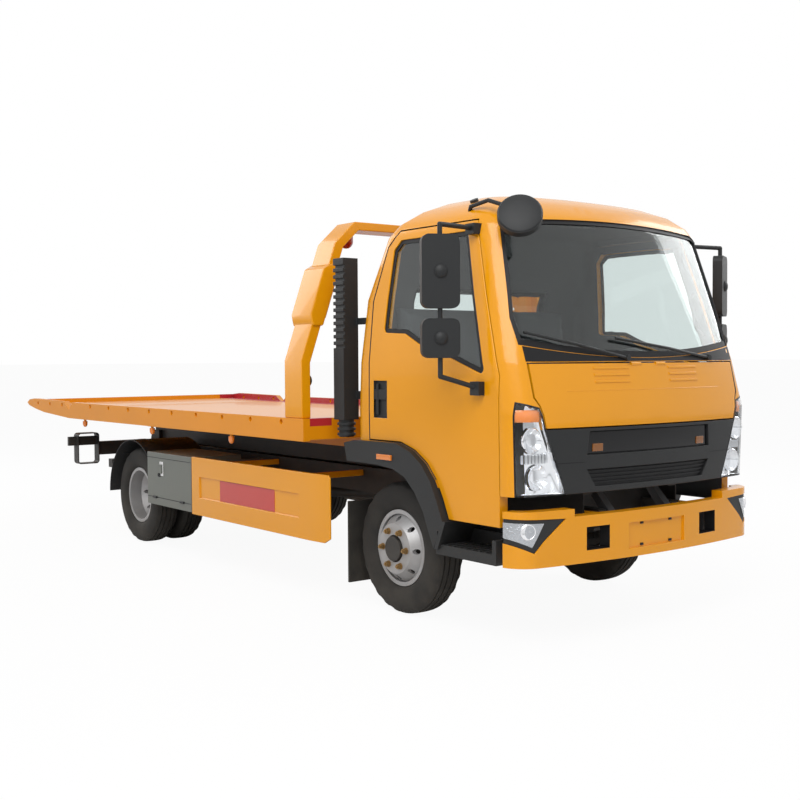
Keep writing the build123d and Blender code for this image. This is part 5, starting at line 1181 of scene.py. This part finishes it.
bed_paint_and_reflection = make_bed_paint_and_reflection()
dress("bed_platform", bed_paint_and_reflection, 0.003)
dress("bed_tail", bed_paint_and_reflection, 0.003)
dress("gantry", paint, 0.006)
reds, ambers, stalks, cases, work_cases, work_lenses = (bmesh.new() for _ in range(6))
for _, s in SIDES:
    for k in range(CASE_LAMPS):
        z = CASE_LAMP_LOW + k * CASE_LAMP_PITCH
        y = s * (leg_y(z) - CASE_LAMP_IN)
        add_dome(reds, (CASE_LAMP_X, y, z), CASE_LAMP_R, (-1, 0, 0), 1.4)
    rings = []
    for z, reach in zip(CASE_Z, CASE_OUT):
        inner = leg_y(z) - CASE_IN
        outer = leg_y(z) + LEG_OUT + reach
        square = ((CASE_X[0], inner), (CASE_X[1], inner), (CASE_X[1], outer), (CASE_X[0], outer))
        rings.append([cases.verts.new(at(x, s * y, z)) for x, y in square])
    for lower, upper in zip(rings, rings[1:]):
        for k in range(4):
            cases.faces.new((lower[k], lower[k - 3], upper[k - 3], upper[k]))
    cases.faces.new(rings[0])
    cases.faces.new(rings[-1])
    x, y, z = BEACON_AT
    add_dome(reds, (x, s * y, z), BEACON_R, (0, 0, -1), 2.0)
    for x in MARKERS_X:
        low, high = ((x, s * MARKER_Y, z) for z in STALK_Z)
        add_rod(stalks, low, high, STALK_R, steps=16)
        add_dome(ambers, (x, s * MARKER_Y, MARKER_SEAT_Z), MARKER_R, (0, 0, -1), 1.2)
    front, back = ((x, s * WORK_LAMP_Y, WORK_LAMP_Z) for x in WORK_LAMP_X)
    add_rod(work_cases, front, back, WORK_LAMP_R, steps=32)
    add_dome(work_lenses, back, WORK_LAMP_R * 0.86, (-1, 0, 0), 0.5)
piece = fitted("bed_red_lamps", reds, red_lens, "bed_lamps")
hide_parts("bed_lamps")
fitted("bed_marker_lamps", ambers, amber_lens, "bed_lamps")
fitted("bed_marker_stalks", stalks, paint, "bed_lamps")
fitted("gantry_lamp_cases", cases, paint, "gantry", 0.012)
fitted("work_lamp_cases", work_cases, black_plastic, "gantry", 0.006)
fitted("work_lamp_lenses", work_lenses, lens_clear, "gantry")

# Winch: dark painted frame, motor and gear case, bolted to the deck behind the gantry, with wire
# rope wound on its drum in one layer.
WINCH_X = -1.010
WINCH_Z = 1.195
ROPE_R = 0.006
ROPE_BED_R = 0.048
ROPE_HALF = 0.190
ROPE_POINTS = 6
ROPE_IN_R = 0.044
winch_steel = finish("winch_steel", (0.05, 0.05, 0.055), 0.4, grain=(400, 0.0003), dust=0.2)
wire_rope = finish("wire_rope", (0.30, 0.30, 0.31), 0.42, metallic=0.9, drift=0.5, grain=(900, 0.0008))
dress("winch", winch_steel, 0.003)
dress("winch_drum", winch_steel, 0.001)
turns = int(ROPE_HALF / ROPE_R)
winding = [(-ROPE_HALF, ROPE_IN_R)]
for k in range(turns):
    middle = -ROPE_HALF + (2 * k + 1) * ROPE_R
    for i in range(ROPE_POINTS + 1):
        turn = pi * i / ROPE_POINTS
        winding.append((middle - ROPE_R * cos(turn), ROPE_BED_R + ROPE_R * sin(turn)))
winding.append((winding[-1][0], ROPE_IN_R))
rope = bmesh.new()
turned(rope, winding, Matrix.Translation(at(WINCH_X, 0, WINCH_Z)), 40, True)
fitted("winch_rope", rope, wire_rope, "winch_drum")

# Sides of the bed: grey-green toolboxes with paddle latches and hinges, orange guards with a
# blank red panel, black mudguards, rubber flaps, and the tail beam with its lamps.
# Boxes give x, distance from the middle and height, each as a low and a high value
LATCH_BOX = ((-2.795, -2.735), (1.048, 1.056), (0.605, 0.715))
PADDLE_BOX = ((-2.781, -2.749), (1.054, 1.063), (0.623, 0.695))
LOCK_AT = (-2.800, 0.612)
LOCK_REACH = (1.048, 1.064)
LOCK_R = (0.016, 0.013)
SEAM_X = (-3.012, -2.283)
SEAM_REACH = (1.048, 1.0515)
SEAM_Z = (0.432, 0.738)
SEAM_H = 0.004
HINGES_X = (-2.880, -2.420)
HINGE_Y = 1.053
HINGE_Z = 0.434
HINGE_R = 0.008
HINGE_W = 0.06
PANEL_BOX = ((-1.850, -1.110), (1.039, 1.0425), (0.498, 0.642))
TAIL_LAMP_X = (-4.654, -4.638)
TAIL_RED_Y = (0.822, 0.905)
TAIL_AMBER_Y = (0.910, 0.988)
TAIL_LAMP_Z = (0.742, 0.802)
grey_paint = finish(
    "grey_paint", (0.105, 0.115, 0.098), 0.38, coat=0.15, drift=0.10, grain=(260, 0.0002), dust=0.25
)
flap_rubber = finish("flap_rubber", (0.012, 0.012, 0.012), 0.7, grain=(240, 0.0008), dust=0.35, shine=0.2)
latch_steel = finish("latch_steel", (0.70, 0.70, 0.70), 0.25, metallic=0.9)
panel_red = finish("panel_red", (0.50, 0.035, 0.025), 0.35, coat=0.3, drift=0.15)
dress("toolboxes", grey_paint, 0.002)
dress("side_guards", paint, 0.006)
dress("rear_mudguards", black_plastic, 0.002)
dress("front_mud_flaps", flap_rubber, 0.002)
dress("tail_beam", black_steel, 0.002)
panels, tail_reds, tail_ambers = (bmesh.new() for _ in range(3))


def side_box(shape, s, x, reach, z):
    """Box on one side, given by its distances from the middle."""
    add_box(shape, x, on_side(s, *reach), z)


for name, s in SIDES:
    lid = f"toolbox_lid_{name}"
    dress(lid, grey_paint, 0.003)
    plate = bmesh.new()
    side_box(plate, s, *LATCH_BOX)
    fitted(f"latch_plate_{name}", plate, latch_steel, lid, 0.004)
    paddle = bmesh.new()
    side_box(paddle, s, *PADDLE_BOX)
    fitted(f"latch_paddle_{name}", paddle, grey_paint, lid, 0.003)
    lock = bmesh.new()
    x, z = LOCK_AT
    near, far = ((x, s * y, z) for y in LOCK_REACH)
    add_rod(lock, near, far, *LOCK_R, 20)
    fitted(f"latch_lock_{name}", lock, seal_rubber, lid, 0.002)
    seams = bmesh.new()
    for z in SEAM_Z:
        side_box(seams, s, SEAM_X, SEAM_REACH, (z, z + SEAM_H))
    fitted(f"lid_seams_{name}", seams, seal_rubber, lid)
    knuckle = bmesh.new()
    along = Matrix.Rotation(pi / 2, 4, "Y")
    bmesh.ops.create_cone(
        knuckle, cap_ends=True, segments=16, radius1=HINGE_R, radius2=HINGE_R, depth=HINGE_W, matrix=along
    )
    first = at(HINGES_X[0], s * HINGE_Y, HINGE_Z)
    hinge_step = (HINGES_X[1] - HINGES_X[0], 0, 0)
    repeated(
        f"lid_hinges_{name}", row_tree, knuckle, seal_rubber, Matrix(), lid, "black_plastic",
        **{"Count": len(HINGES_X), "Start Location": first, "Offset": hinge_step},
    )
    side_box(panels, s, *PANEL_BOX)
    side_box(tail_reds, s, TAIL_LAMP_X, TAIL_RED_Y, TAIL_LAMP_Z)
    side_box(tail_ambers, s, TAIL_LAMP_X, TAIL_AMBER_Y, TAIL_LAMP_Z)
fitted("guard_panels", panels, panel_red, "side_guards", 0.001)
fitted("tail_red_lamps", tail_reds, red_lens, "tail_beam", 0.006)
fitted("tail_amber_lamps", tail_ambers, amber_lens, "tail_beam", 0.006)
